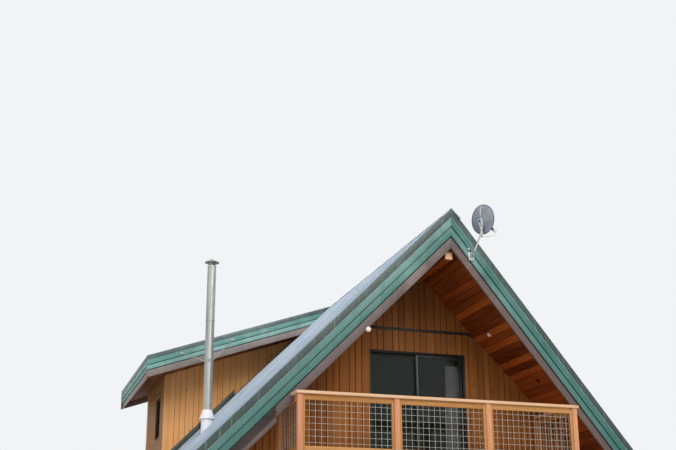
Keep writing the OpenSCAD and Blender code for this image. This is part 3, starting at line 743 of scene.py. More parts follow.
def stud_grower() -> Grower:
    """Low round heads in a grid of columns along X and rows along Y."""
    g = Grower("stud_grid", {"Columns": 2, "Rows": 2, "Pitch": 0.1, "Row Pitch": 0.1, "Radius": 0.004,
                             "Rise": 0.002, "Sides": 8})
    t = g.tree
    wide = (g.given("Columns") - 1) * g.given("Pitch")
    tall = (g.given("Rows") - 1) * g.given("Row Pitch")
    grid = t.geo("MeshGrid", {"Size X": wide, "Size Y": tall, "Vertices X": g.given("Columns"),
                              "Vertices Y": g.given("Rows")})
    head = t.geo("MeshCone", {"Vertices": g.given("Sides"), "Radius Top": g.given("Radius") * 0.6,
                              "Radius Bottom": g.given("Radius"), "Depth": g.given("Rise")})
    real = t.geo("RealizeInstances", {"Geometry": g.stood(grid, head)})
    shift = t.vector(X=wide * 0.5, Y=tall * 0.5)
    g.end(t.geo("SetPosition", {"Geometry": real, "Offset": shift}))
    return g


def ordered(one: Sequence[float], two: Sequence[float]) -> list[tuple[float, ...]]:
    """Two opposite corners, the lowest values first."""
    return [tuple(map(pick, one, two)) for pick in (min, max)]


def bars(u0: float, v0: float, u1: float, v1: float, wide: float) -> list[tuple[float, float, float, float]]:
    """The four bars of a border inside a rectangle, each by its two corners."""
    return [(u0, v0, u1, v0 + wide), (u0, v1 - wide, u1, v1), (u0, v0 + wide, u0 + wide, v1 - wide),
            (u1 - wide, v0 + wide, u1, v1 - wide)]


class Shape:
    """Solid parts gathered in one mesh, each with its own tone."""

    def __init__(self, seed: int = 1) -> None:
        """Starts an empty shape with a fixed seed for its tones."""
        self.bm = bmesh.new()
        self.layer = self.bm.verts.layers.float.new("tone")
        self.dice = random.Random(seed)

    def part(self, points: Iterable[Sequence[float]], faces: Iterable[Sequence[int]]) -> None:
        """Adds one closed part."""
        tone = self.dice.random()
        made = []
        for point in points:
            vert = self.bm.verts.new(point)
            vert[self.layer] = tone
            made.append(vert)
        for face in faces:
            self.bm.faces.new([made[i] for i in face])

    def prism(self, outline: Sequence[Sequence[float]], shift: Sequence[float]) -> None:
        """Adds a flat outline pushed along a vector."""
        n = len(outline)
        points = [Vector(p) for p in outline] + [Vector(p) + Vector(shift) for p in outline]
        faces = [tuple(range(n)), tuple(range(2 * n - 1, n - 1, -1))]
        faces += [(i, (i + 1) % n, n + (i + 1) % n, n + i) for i in range(n)]
        self.part(points, faces)

    def box(self, low: Sequence[float], high: Sequence[float]) -> None:
        """Adds an upright box between two corners."""
        (x0, y0, z0), (x1, y1, z1) = low, high
        self.prism([(x0, y0, z0), (x1, y0, z0), (x1, y1, z0), (x0, y1, z0)], (0, 0, z1 - z0))

    def block(self, frame_of: Matrix, low: Sequence[float], high: Sequence[float]) -> None:
        """Adds a box between two corners of a turned frame."""
        (x0, y0, z0), (x1, y1, z1) = low, high
        ring = [frame_of @ Vector((x, y, z0)) for x, y in ((x0, y0), (x1, y0), (x1, y1), (x0, y1))]
        self.prism(ring, frame_of.to_3x3() @ Vector((0, 0, z1 - z0)))

    def bolt(self, at: Sequence[float], way: Sequence[float], radius: float = 0.007) -> None:
        """Adds a six-sided bolt head on its washer, standing out along a direction."""
        r = radius
        self.lathe([(0, -0.001), (1.5 * r, -0.001), (1.5 * r, 0.15 * r), (0, 0.15 * r)], at, way, 16)
        self.lathe([(0, 0.1 * r), (r, 0.1 * r), (r, 0.65 * r), (0.82 * r, 0.8 * r), (0, 0.8 * r)], at, way, 6)

    def rings(self, loops: Sequence[Sequence[Vector]], closed: bool) -> None:
        """Adds skin between rings of points; a ring of one point is a tip."""
        points = [p for loop in loops for p in loop]
        starts = [sum(len(loop) for loop in loops[:i]) for i in range(len(loops))]
        n = max(len(loop) for loop in loops)
        faces = []
        pairs = [(i, i + 1) for i in range(len(loops) - 1)] + ([(len(loops) - 1, 0)] if closed else [])
        for a, b in pairs:
            for k in range(n):
                j = (k + 1) % n
                one = [starts[a] + (q if len(loops[a]) > 1 else 0) for q in (k, j)]
                two = [starts[b] + (q if len(loops[b]) > 1 else 0) for q in (j, k)]
                face = list(dict.fromkeys(one + two))
                if len(face) > 2:
                    faces.append(face)
        if not closed:
            for a in (0, len(loops) - 1):
                if len(loops[a]) > 1:
                    faces.append(list(range(starts[a], starts[a] + n)))
        self.part(points, faces)

    def lathe(self, profile: Sequence[tuple[float, float]], at: Sequence[float],
              axis: Sequence[float] = (0, 0, 1), sides: int = 32, closed: bool = False) -> None:
        """Adds a turned part.

        Args:
            profile: Radius and place along the axis of each ring.
            at: Where the axis starts.
            axis: Its direction.
            sides: Points of a ring.
            closed: Whether the last ring joins the first, as on a tube.
        """
        turn = Vector(axis).normalized().to_track_quat("Z", "Y").to_matrix()
        loops = []
        for r, z in profile:
            angles = [0.0] if r < 1e-6 else [2 * math.pi * k / sides for k in range(sides)]
            loops.append([Vector(at) + turn @ Vector((r * math.cos(a), r * math.sin(a), z)) for a in angles])
        self.rings(loops, closed)

    def tube(self, path: Sequence[Sequence[float]], radius: float, sides: int = 12) -> None:
        """Adds a round bar along a path."""
        pts = [Vector(p) for p in path]
        loops, side = [], None
        for i, p in enumerate(pts):
            way = (pts[min(i + 1, len(pts) - 1)] - pts[max(i - 1, 0)]).normalized()
            side = (side - way * side.dot(way)).normalized() if side else way.orthogonal().normalized()
            other = way.cross(side)
            loops.append([p + radius * (math.cos(a) * side + math.sin(a) * other)
                          for a in (2 * math.pi * k / sides for k in range(sides))])
        self.rings(loops, False)

    def merge(self, mesh: Mesh) -> None:
        """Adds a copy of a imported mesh, its flat faces whole again and a tone for each solid."""
        work = bmesh.new()
        work.from_mesh(mesh)
        bmesh.ops.remove_doubles(work, verts=work.verts, dist=2e-5)
        bmesh.ops.dissolve_limit(work, angle_limit=math.radians(1.0), verts=work.verts, edges=work.edges)
        work.verts.ensure_lookup_table()
        seen: set[int] = set()
        for first in work.verts:
            if first.index in seen:
                continue
            group, todo = [], [first]
            seen.add(first.index)
            while todo:
                vert = todo.pop()
                group.append(vert)
                for edge in vert.link_edges:
                    other = edge.other_vert(vert)
                    if other.index not in seen:
                        seen.add(other.index)
                        todo.append(other)
            number = {v.index: i for i, v in enumerate(group)}
            faces = sorted({f for v in group for f in v.link_faces}, key=lambda f: f.index)
            self.part([v.co.copy() for v in group], [[number[v.index] for v in f.verts] for f in faces])
        work.free()

    def done(self, name: str, material: Material, slot: str, bevel: float = 0.0,
             instead: Sequence[str] = ()) -> Object:
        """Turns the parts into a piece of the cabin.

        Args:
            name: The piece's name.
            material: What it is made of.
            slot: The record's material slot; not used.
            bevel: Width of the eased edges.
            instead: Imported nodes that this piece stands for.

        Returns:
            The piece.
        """
        bmesh.ops.recalc_face_normals(self.bm, faces=self.bm.faces)
        if bevel:
            limit = math.radians(25)
            edges = [e for e in self.bm.edges if len(e.link_faces) == 2 and e.calc_face_angle(0.0) > limit]
            bmesh.ops.bevel(self.bm, geom=edges, offset=bevel, segments=2, profile=0.5, affect="EDGES",
                            clamp_overlap=True)
        mesh = bpy.data.meshes.new(name)
        self.bm.to_mesh(mesh)
        self.bm.free()
        mesh.shade_smooth()
        mesh.set_sharp_from_angle(angle=math.radians(SHARP))
        mesh.materials.append(material)
        return settle(added(name, mesh), name, instead)


def settle(piece: Object, name: str, instead: Sequence[str] = ()) -> Object:
    """Names a piece, hangs it on the body, and hides the imported nodes that it stands for."""
    piece.name = name
    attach(piece, BODY)
    if instead:
        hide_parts(*instead)
    triangles = sum(len(p.vertices) - 2 for p in piece.data.polygons)
    LOG.info("%s: %d triangles", name, triangles)
    return piece


def joined(parts: Sequence[Object], name: str, instead: Sequence[str] = ()) -> Object:
    """Joins plain mesh objects into one piece."""
    with bpy.context.temp_override(active_object=parts[0], selected_editable_objects=list(parts)):
        bpy.ops.object.join()
    return settle(parts[0], name, instead)


@dataclass
class Kit:
    """What every sub-assembly is built with."""

    finish: SimpleNamespace
    nodes: dict[str, Object]
    boards: Grower = field(default_factory=board_grower)
    rods: Grower = field(default_factory=rod_grower)
    studs: Grower = field(default_factory=stud_grower)

    def paint(self, material: Material, *names: str) -> None:
        """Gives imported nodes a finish, and leaves their shape."""
        for name in names:
            mesh = self.nodes[name].data
            mesh.materials.clear()
            mesh.materials.append(material)

    def eased(self, node: str, material: Material, slot: str, bevel: float = 0.004,
              seed: int = 1) -> Object:
        """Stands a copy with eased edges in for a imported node."""
        shape = Shape(seed)
        shape.merge(self.nodes[node].data)
        return shape.done(f"{node}_eased", material, slot, bevel, instead=[node])

    def field(self, place: Place, material: Material, left: float, right: float, pitch: float = 0.137,
              gap: float = 0.007, anchor: float = 0.0, widths: Sequence[float] = (), seed: int = 1,
              **values: Any) -> list[Object]:
        """Grows boards from left to right, with one joint at the anchor.

        Args:
            place: The wall or slope that they lie on.
            material: The boards' finish.
            left: First edge of the field.
            right: Last edge of the field.
            pitch: From one set of boards to the next.
            gap: Between two boards.
            anchor: Where a joint falls.
            widths: The boards of one set with their joints; one board unless given.
            seed: For the boards' tones.
            values: The other inputs of the tree.

        Returns:
            A mesh object for each board of the set that falls in the field.
        """
        grown, at = [], anchor + gap / 2
        for number, width in enumerate(widths or (pitch,)):
            wide = width - gap
            first = math.ceil((left + LEAST_STRIP - wide - at) / pitch)
            count = math.floor((right - LEAST_STRIP - at) / pitch) - first + 1
            if count > 0:
                start = at + first * pitch + wide / 2
                grown.append(self.boards.grow(place, material, Count=count, Start=start, Pitch=pitch,
                                              Width=wide, Left=left, Right=right, Seed=seed * 5 + number,
                                              **values))
            at += width
        return grown


@dataclass
class Part:
    kit: Kit

    def build(self) -> None:
        """Builds its pieces."""
        raise NotImplementedError

    @property
    def finish(self) -> SimpleNamespace:
        """The materials."""
        return self.kit.finish


FRONT = Place((0, ROOF.wall_y, 0), (1, 0, 0))
BACK = Place((0, ROOF.back_wall_y, 0), (-1, 0, 0))
LEFT = Place((-ROOF.wall_x, 0, 0), (0, -1, 0))
RIGHT = Place((ROOF.wall_x, 0, 0), (0, 1, 0))
DORMER_SIDE = Place((-DORMER.wall_x, 0, 0), (0, -1, 0))


@dataclass(frozen=True)
class Hole:
    """An opening in a wall, in the wall's own across and up."""

    left: float
    right: float
    low: float
    high: float

    @staticmethod
    def about(mid: float, low: float, wide: float = WINDOW, tall: float = WINDOW) -> "Hole":
        """An opening about a middle line, up from its sill."""
        return Hole(mid - wide / 2, mid + wide / 2, low, low + tall)

    def grown(self, around: float, below: Optional[float] = None) -> "Hole":
        """The same hole with its casings, which may reach further below."""
        bottom = around if below is None else below
        return Hole(self.left - around, self.right + around, self.low - bottom, self.high + around)


@dataclass
class Siding(Part):
    """Upright boards on every outer wall, split round the openings, with corner boards."""

    thick: float = 0.016
    casing: float = 0.087
    widths: tuple[float, ...] = (0.178, 0.118, 0.119)
    anchor: float = -0.237
    gap: float = 0.010
    belt_low: float = 5.772
    belt_high: float = 5.816
    end_x: float = 4.190
    low: float = 0.170
    split: tuple[float, float] = (3.280, 3.285)
    top: float = 7.200
    nail_in: float = 0.028
    nail_up: float = 0.045
    batten: float = 0.620
    least: float = 0.020

    def wall(self, name: str, place: Place, left: float, right: float, low: float, high: float,
             holes: Sequence[Hole], seed: int, material: Optional[Material] = None,
             **lines: float) -> Object:
        """Covers one wall.

        Args:
            name: The piece's name.
            place: The wall's face.
            left: First edge of the boards.
            right: Last edge.
            low: Their lower ends.
            high: Their upper ends.
            holes: Openings with their casings.
            seed: For the boards' tones.
            material: The boards' finish, siding unless given.
            lines: Folded end lines.

        Returns:
            The piece.
        """
        finish = material or self.finish.siding
        cuts = sorted({left, right, *(v for h in holes for v in (h.left, h.right) if left < v < right)})
        parts, nails = [], []
        for a, b in zip(cuts, cuts[1:]):
            mid = (a + b) / 2
            here = sorted((h for h in holes if h.left < mid < h.right), key=lambda h: h.low)
            ends = [low, *(v for h in here for v in (h.low, h.high)), high]
            for z0, z1 in zip(ends[::2], ends[1::2]):
                u0, u1 = (a, b) if "Low_Line" in lines else self.reach(a, b, z0, lines)
                if min(z1 - z0, u1 - u0) > self.least:
                    seed += 1
                    parts += self.kit.field(place, finish, u0, u1, sum(self.widths), self.gap, self.anchor,
                                            self.widths, seed, Low=z0, High=z1, Thickness=self.thick, **lines)
                    nails += self.nails(place, a, b, z0, z1, lines)
        if nails:
            joined(nails, f"{name}_nails")
        return joined(parts, name)

    @staticmethod
    def reach(left: float, right: float, z: float, lines: dict[str, float]) -> tuple[float, float]:
        """Clips a span of boards to where the sloping ends leave room at a height."""
        far, near = FAR, 0.0
        if "High_Line" in lines:
            far = (lines["High_Line"] - z) / -lines["High_Slope"]
        if "Low_Line" in lines:
            near = (lines["Low_Line"] - z) / -lines["Low_Slope"]
        if left >= 0:
            return max(left, near), min(right, far)
        if right <= 0:
            return max(left, -far), min(right, -near)
        return max(left, -far), min(right, far)

    def nails(self, place: Place, left: float, right: float, low: float, high: float,
              lines: dict[str, float]) -> list[Object]:
        """Drives two nails through each board at every batten.

        Args:
            place: The wall's face.
            left: First edge of the boards.
            right: Last edge.
            low: Their lower ends.
            high: Their upper ends.
            lines: Folded end lines.

        Returns:
            A mesh object for each set of nails.
        """
        module, rows = sum(self.widths), []
        top, bottom = min(high, lines.get("High_Line", FAR)), low
        if "Low_Line" in lines:
            bottom = max(low, lines["Low_Line"] + lines["Low_Slope"] * max(abs(left), abs(right)))
        if top - bottom < 0.12:
            return rows
        count = max(1, math.ceil((top - bottom - 0.1) / self.batten))
        step = (top - bottom - 2 * self.nail_up) / count
        levels = [(bottom + self.nail_up, count + 1)]
        if lines:
            levels = [(bottom + self.nail_up + step * i, 1) for i in range(count + 1)]
        for z, many_rows in levels:
            a, b = self.reach(left + 0.02, right - 0.02, z, lines)
            if lines:
                a, b = a + 0.03, b - 0.03
            at = self.anchor
            for width in self.widths:
                for inset in (self.nail_in, width - self.nail_in):
                    first = math.ceil((a - at - inset) / module)
                    many = math.floor((b - at - inset) / module) - first + 1
                    if many > 0:
                        spot = place.moved(at + inset + first * module, z, self.thick)
                        rows.append(self.kit.studs.grow(
                            spot, self.finish.nail, Columns=many, Rows=many_rows, Pitch=module,
                            Row_Pitch=step, Radius=0.0034, Rise=0.0018, Sides=7))
                at += width
        return rows

    def build(self) -> None:
        """Covers the main walls and sets their corner boards."""
        roof, kit = ROOF, self.kit
        kit.paint(kit.finish.gap, "lower_front_wall", "upper_front_wall", "back_wall", "side_walls")
        kit.paint(kit.finish.gold_gap, "dormer_end_walls", "dormer_outer_wall")
        top = {"High_Line": roof.z(0, roof.depth + LINING), "High_Slope": -roof.fall}
        half = roof.x(roof.upper_z, roof.depth) - 0.02
        lower_door, upper_door = (Hole(-DOOR_HALF, DOOR_HALF, floor, floor + DOOR_TALL).grown(0.003, 0.1)
                                  for floor in STOREYS)
        windows = [Hole.about(x, SILL).grown(self.casing) for x in (-WINDOW_X, WINDOW_X)]
        gable = Hole.about(0.0, GABLE_SILL).grown(self.casing)
        belt = Hole(-5.0, 5.0, self.belt_low - 0.004, self.belt_high + 0.004)
        self.wall("upper_front_boards", FRONT, -half, half, self.split[1], self.top, [belt, upper_door], 11,
                  **top)
        for name, place, high, holes, seed in (
                ("lower_front_boards", FRONT, self.split[0], [lower_door, *windows], 40),
                ("back_boards", BACK, self.top, [*windows, gable], 80)):
            self.wall(name, place, -self.end_x, self.end_x, self.low, high, holes, seed, **top)
        knee = roof.z(roof.wall_x + 0.02, roof.depth + LINING)
        for name, place, sign in (("left_boards", LEFT, -1), ("right_boards", RIGHT, 1)):
            spots = [Hole.about(sign * y, SILL).grown(self.casing) for y in SIDE_WINDOWS]
            ends = sorted((sign * (roof.wall_y + 0.01), sign * (roof.back_wall_y - 0.01)))
            self.wall(name, place, ends[0], ends[1], self.low, knee, spots, 120)
        self.corners(knee)
        self.belt()

    def belt(self) -> None:
        """Sets the dark strip across the gable, cut to the slopes, with a lip along its top."""
        shape, y = Shape(6), ROOF.wall_y
        low_x, high_x = (ROOF.x(z, ROOF.depth + LINING) for z in (self.belt_low, self.belt_high))
        for x, z, out in ((low_x, self.belt_low, 0.022), (high_x, self.belt_high - 0.006, 0.026)):
            shape.prism([(-x, y - out, z), (x, y - out, z), (high_x, y - out, self.belt_high),
                         (-high_x, y - out, self.belt_high)], (0, out, 0))
        shape.done("gable_belt", self.finish.belt, "dark_trim", 0.0015, instead=["gable_belt_trim"])

    def corners(self, knee: float) -> None:
        """Sets a pair of boards at each corner of the lower storey."""
        shape = Shape(5)
        w, t, x, low = 0.092, 0.024, ROOF.wall_x, self.low - 0.005
        for s in (-1, 1):
            for y, out in ((ROOF.wall_y, -1), (ROOF.back_wall_y, 1)):
                shape.box(*ordered((s * (x + t), y, low), (s * (x - w), y + out * t, knee)))
                shape.box(*ordered((s * x, y - 0.0005 * out, low), (s * (x + t), y - out * w, knee)))
        shape.done("corner_boards", self.finish.siding, "siding", 0.003)


@dataclass
class Soffits(Part):
    """Oiled boards under the roofs, running from the front to the back."""

    thick: float = 0.012
    gap: float = 0.006
    near_x: float = 0.066
    front_in: float = 0.100

    def boards(self, place: Place, material: Material, left: float, right: float, seed: int,
               **ends: float) -> list[Object]:
        """Grows one field of soffit boards."""
        return self.kit.field(place, material, left, right, seed=seed, gap=self.gap, Thickness=self.thick,
                              **ends)

    def build(self) -> None:
        """Lines both overhanging slopes, the boxed eaves and the dormer."""
        roof, kit = ROOF, self.kit
        kit.paint(kit.finish.soffit_back, "soffit_linings")
        c, s = math.cos(roof.pitch), math.sin(roof.pitch)
        out = roof.x(roof.eave_low, roof.depth)
        under = roof.z(0, roof.depth)
        start = roof.front + self.front_in
        front = {"Low_Line": start, "Low_Slope": roof.prow * c}
        for side, name, seed in ((-1, "left_soffit", 200), (1, "right_soffit", 240)):
            across = (-c, 0, -s) if side < 0 else (-c, 0, s)
            place = Place((0, 0, under), across, (0, 1, 0))
            spans = [(self.near_x, out, {**front, "High": roof.wall_y, "Low": -9.0}),
                     (self.near_x, out, {"Low": roof.back_wall_y, "High": roof.back - FASCIA}),
                     (roof.wall_x, out, {"Low": roof.wall_y, "High": roof.back_wall_y})]
            parts = []
            for near, far, ends in spans:
                u = sorted((-side * near / c, -side * far / c))
                seed += 1
                parts += self.boards(place, kit.finish.soffit, u[0], u[1], seed, **ends)
            level = Place((0, 0, roof.eave_low + 0.008), (-1, 0, 0), (0, 1, 0))
            u = sorted((-side * out, -side * (roof.eave - FASCIA)))
            parts += self.boards(level, kit.finish.soffit, u[0], u[1], seed + 9, anchor=u[0], Low=-9.0,
                                 High=roof.back - FASCIA, Low_Line=start, Low_Slope=roof.prow)
            joined(parts, name)
        self.dormer()

    def dormer(self) -> None:
        """Lines the dormer's overhangs."""
        d = DORMER
        slope = math.atan(d.fall)
        c, s = math.cos(slope), math.sin(slope)
        place = Place((0, 0, d.z(0, d.depth)), (-c, 0, -s), (0, 1, 0))
        near, far = d.meet(ROOF, d.depth), d.eave_x - FASCIA
        rows = [(near, d.rake_y + 0.072, d.wall_y), (near, d.back_y, d.back_y + d.back_over),
                (d.wall_x, d.wall_y, d.back_y)]
        parts = []
        for i, (x, y0, y1) in enumerate(rows):
            parts += self.boards(place, self.finish.gold_soffit, x / c, far / c, 300 + i, Low=y0, High=y1)
        joined(parts, "dormer_soffit")


@dataclass(frozen=True)
class RakeLayer:
    """One board or strip along the pointed front: depths square to the slope, and set-backs."""

    name: str
    finish: str
    slot: str
    top: float
    low: float
    inset: float
    to: float
    instead: tuple[str, ...] = ()
    bevel: float = 0.004


@dataclass
class Rakes(Part):
    """The stepped, mitred boards of the front edge, with near-black strips in the joints between them that
    are painted shadow.
    """

    # The joint and gap strips are near-black: painted shadow under the lower edges of the boards above them.
    layers: tuple[RakeLayer, ...] = (
        RakeLayer("rake_edge", "edge", "dark_trim", -0.016, 0.102, 0.000, 0.072, ("rake_edge_trim",), 0.003),
        # The drip strip is pale: a painted highlight on its nosing.
        RakeLayer("rake_drip", "glint", "dark_trim", 0.102, 0.109, 0.006, 0.050, (), 0.001),
        RakeLayer("rake_upper_green", "green", "green_paint", 0.109, 0.211, 0.014, 0.072, ("rake_fascias",)),
        RakeLayer("rake_joint_shadow", "reveal", "dark_trim", 0.211, 0.223, 0.036, 0.070, (), 0.0),
        RakeLayer("rake_lower_green", "green", "green_paint", 0.223, 0.330, 0.032, 0.072),
        RakeLayer("rake_gap_shadow", "gasket", "dark_trim", 0.328, 0.350, 0.062, 0.098, (), 0.0),
        RakeLayer("rake_barge", "brown", "brown_paint", 0.348, 0.481, 0.056, 0.100, ("barge_boards",)),
    )
    tail_x: float = 2.870
    tail_low: float = 0.544

    def strip(self, shape: Shape, layer: RakeLayer, side: int, low: Optional[float] = None,
              start: float = 0.0) -> None:
        """Adds one side of a layer, from the start to the boxed eave."""
        deep = layer.low if low is None else low
        ends = [min(ROOF.eave, ROOF.x(ROOF.eave_low, d)) for d in (layer.top, deep)]
        outline = [(start, layer.top), (ends[0], layer.top), (ends[1], deep), (start, deep)]
        points = []
        for inset in (layer.inset, layer.to):
            for x, d in outline:
                points.append((side * x, ROOF.edge(x, inset), ROOF.z(x, d)))
        faces = [(0, 1, 2, 3), (7, 6, 5, 4), (0, 4, 5, 1), (1, 5, 6, 2), (2, 6, 7, 3), (3, 7, 4, 0)]
        shape.part(points, faces)

    def build(self) -> None:
        """Builds every layer on both sides."""
        for number, layer in enumerate(self.layers):
            shape = Shape(number + 60)
            for side in (-1, 1):
                if layer.name == "rake_barge" and side < 0:
                    self.strip(shape, layer, side, self.tail_low, self.tail_x)
                self.strip(shape, layer, side)
            shape.done(layer.name, getattr(self.finish, layer.finish), layer.slot, layer.bevel,
                       instead=layer.instead)
        self.kit.eased("eave_fascias", self.finish.green, "green_paint", 0.004, 75)
        self.kit.eased("back_rake_boards", self.finish.green, "green_paint", 0.004, 76)


@dataclass
class RoofSheet(Part):
    """Metal sheets with standing seams on both slopes and the dormer."""

    pitch: float = 0.406
    wide: float = 0.014
    tall: float = 0.018

    def seams(self, place: Place, left: float, right: float, high: float, seed: int,
              **ends: Any) -> list[Object]:
        """Grows one row of seams."""
        return self.kit.field(place, self.finish.roof, left, right, pitch=self.pitch,
                              gap=self.pitch - self.wide, seed=seed, Thickness=self.tall, Chamfer=0.003,
                              High=high, **ends)

    def build(self) -> None:
        """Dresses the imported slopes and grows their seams."""
        kit, roof, d = self.kit, ROOF, DORMER
        kit.paint(kit.finish.roof, "left_roof", "right_roof", "dormer_roof")
        self.ridge()
        c, s = math.cos(roof.pitch), math.sin(roof.pitch)
        edge, y0 = roof.eave - FASCIA, roof.front + 0.072
        end = roof.back - 0.04 - y0
        cut = {"Low_Line": edge / c, "Low_Slope": -1 / (roof.prow * c)}
        whole = (edge - 0.15) / c
        right = Place((edge, y0, roof.z(edge)), (0, 1, 0), (-c, 0, s))
        joined(self.seams(right, 0.05, end, whole, 1, **cut), "right_seams")
        left = Place((-edge, y0, roof.z(edge)), (0, -1, 0), (c, 0, s))
        a, b = d.wall_y - 0.01 - y0, d.back_y + 0.01 - y0
        parts = self.seams(left, -a, -0.05, whole, 2, **cut)
        parts += self.seams(left, -b, -a, (edge - d.wall_x) / c - 0.02, 3)
        parts += self.seams(left, -end, -b, whole, 4)
        joined(parts, "left_seams")
        slope = math.atan(d.fall)
        c, s = math.cos(slope), math.sin(slope)
        far = d.eave_x - FASCIA
        top = Place((-far, 0, d.z(far)), (0, -1, 0), (c, 0, s))
        near = d.meet(roof, 0) + 0.01
        joined(self.seams(top, -d.back_y - d.back_over + 0.03, -d.rake_y - 0.09, (far - near) / c, 5),
               "dormer_seams")

    def ridge(self) -> None:
        """Folds the cap over the ridge, with a hem down each side."""
        roof, shape = ROOF, Shape(7)
        w, lift, sheet = 0.168, 0.028, 0.003
        outline = [(-w, roof.z(w) + 0.004), (-w, roof.z(w) + lift), (-0.012, roof.z(0.012) + lift),
                   (0.0, roof.z(0) + lift - 0.006), (0.012, roof.z(0.012) + lift), (w, roof.z(w) + lift),
                   (w, roof.z(w) + 0.004), (w - 2 * sheet, roof.z(w) + 0.004 + 2 * sheet),
                   (0.0, roof.z(0) + 0.006), (2 * sheet - w, roof.z(w) + 0.004 + 2 * sheet)]
        shape.prism([(x, roof.front + 0.001, z) for x, z in outline], (0, roof.back - roof.front - 0.002, 0))
        shape.done("ridge_flashing", self.finish.roof, "roof_metal", 0.001, instead=["ridge_cap"])


@dataclass
class DormerDress(Part):
    """Golden boards, corner boards, flashing and painted rakes of the dormer."""

    # The dormer's bands take the lighter copies of the paints, which are painted light.
    layers: tuple[RakeLayer, ...] = (
        RakeLayer("dormer_edge", "high_edge", "dark_trim", -0.004, 0.086, 0.000, 0.072,
                  ("dormer_edge_trim",), 0.003),
        # The drip strip is pale: a painted highlight on its nosing.
        RakeLayer("dormer_drip", "glint", "dark_trim", 0.086, 0.092, 0.006, 0.050, (), 0.001),
        RakeLayer("dormer_upper_green", "high_green", "green_paint", 0.092, 0.187, 0.014, 0.072,
                  ("dormer_fascia",)),
        # This joint strip and the gap strip below are near-black: painted shadow under the boards above them.
        RakeLayer("dormer_joint_shadow", "reveal", "dark_trim", 0.187, 0.197, 0.036, 0.070, (), 0.0),
        RakeLayer("dormer_lower_green", "high_green", "green_paint", 0.197, 0.285, 0.032, 0.072),
        RakeLayer("dormer_gap_shadow", "gasket", "dark_trim", 0.284, 0.302, 0.052, 0.071, (), 0.0),
        RakeLayer("dormer_barge", "high_brown", "brown_paint", 0.300, 0.435, 0.044, 0.072,
                  ("dormer_barge_boards",)),
    )

    def build(self) -> None:
        """Builds the dormer's dress."""
        kit, d, roof = self.kit, DORMER, ROOF
        siding = Siding(kit, gap=0.007)
        gold = kit.finish.gold_siding
        lines = {"Low_Line": roof.z(0) + 0.03, "Low_Slope": -roof.fall, "High_Line": d.z(0, d.depth + LINING),
                 "High_Slope": -d.fall}
        front = Place((0, d.wall_y, 0), (1, 0, 0))
        inner = (lines["Low_Line"] - lines["High_Line"]) / (roof.fall - d.fall) + 0.01
        siding.wall("dormer_front_boards", front, -d.wall_x, -inner, 0.0, 9.0, [], 400, gold, **lines)
        back = Place((0, d.back_y, 0), (-1, 0, 0))
        siding.wall("dormer_back_boards", back, inner, d.wall_x, 0.0, 9.0, [], 420, gold, **lines)
        hole = Hole.about(-d.window_y, d.window_z, d.window_w, d.window_h).grown(0.07)
        siding.wall("dormer_outer_boards", DORMER_SIDE, -d.back_y, -d.wall_y, roof.z(d.wall_x) + 0.05,
                    d.z(d.wall_x, d.depth + LINING), [hole], 440, kit.finish.shaded_siding)
        self.corners()
        self.rakes()
        self.flashing()

    def flashing(self) -> None:
        """Folds the dark sheet between the dormer's front wall and the roof."""
        d, shape = DORMER, Shape(9)
        for x0, x1 in ((2.04, 2.82), (2.80, d.wall_x + 0.024)):
            a, b = ROOF.z(x0), ROOF.z(x1)
            for front, up, deep in ((0.026, 0.165, 0.009), (0.16, 0.012, 0.135)):
                y = d.wall_y - front
                shape.prism([(-x0, y, a + 0.001), (-x1, y, b + 0.001), (-x1, y, b + up), (-x0, y, a + up)],
                            (0, deep, 0))
        shape.done("dormer_flashing", self.finish.flashing, "dark_trim", 0.002, instead=["wall_flashing"])

    def corners(self) -> None:
        """Sets a pair of boards at each corner."""
        d, shape = DORMER, Shape(8)
        low, high = ROOF.z(d.wall_x) + 0.02, d.z(d.wall_x, d.depth + 0.02)
        x = -d.wall_x
        for y, out in ((d.wall_y, -1), (d.back_y, 1)):
            shape.box(*ordered((x - 0.022, y + 0.024 * out, low), (x + 0.095, y, high + 0.03)))
            shape.box(*ordered((x - 0.022, y - 0.0005 * out, low), (x, y - 0.09 * out, high)))
        shape.done("dormer_corner_boards", self.finish.gold_siding, "siding", 0.003)

    @staticmethod
    def band(shape: Shape, layer: RakeLayer, near: float, far: float, start: float, stop: float) -> None:
        """Adds a layer between two distances from the ridge and two places along it."""
        corners = ((near, layer.top), (far, layer.top), (far, layer.low), (near, layer.low))
        shape.prism([(-x, start, DORMER.z(x, t)) for x, t in corners], (0, stop - start, 0))

    def strip(self, shape: Shape, layer: RakeLayer, front: bool) -> None:
        """Adds one band of the front or the back rake, let into the main roof at its upper end."""
        d, end = DORMER, DORMER.back_y + DORMER.back_over
        y0, y1 = end - 0.0005, end + 0.072 - layer.inset
        if front:
            y0, y1 = d.rake_y + layer.inset, d.rake_y + layer.to
        self.band(shape, layer, d.meet(ROOF, layer.top) - 0.02, d.eave_x, y0, y1)

    def eave(self, shape: Shape, layer: RakeLayer) -> None:
        """Adds one band down the eave, between the rakes."""
        d = DORMER
        out, into = d.eave_x - layer.inset, d.eave_x - max(layer.inset + 0.02, min(layer.to, 0.058))
        self.band(shape, layer, into, out, d.rake_y + 0.0725, d.back_y + d.back_over - 0.001)

    def rakes(self) -> None:
        """Builds every band at both ends and down the eave."""
        for number, layer in enumerate(self.layers):
            shape = Shape(number + 80)
            for front in (True, False):
                self.strip(shape, layer, front)
            self.eave(shape, layer)
            shape.done(layer.name, getattr(self.finish, layer.finish), layer.slot, layer.bevel,
                       instead=layer.instead)


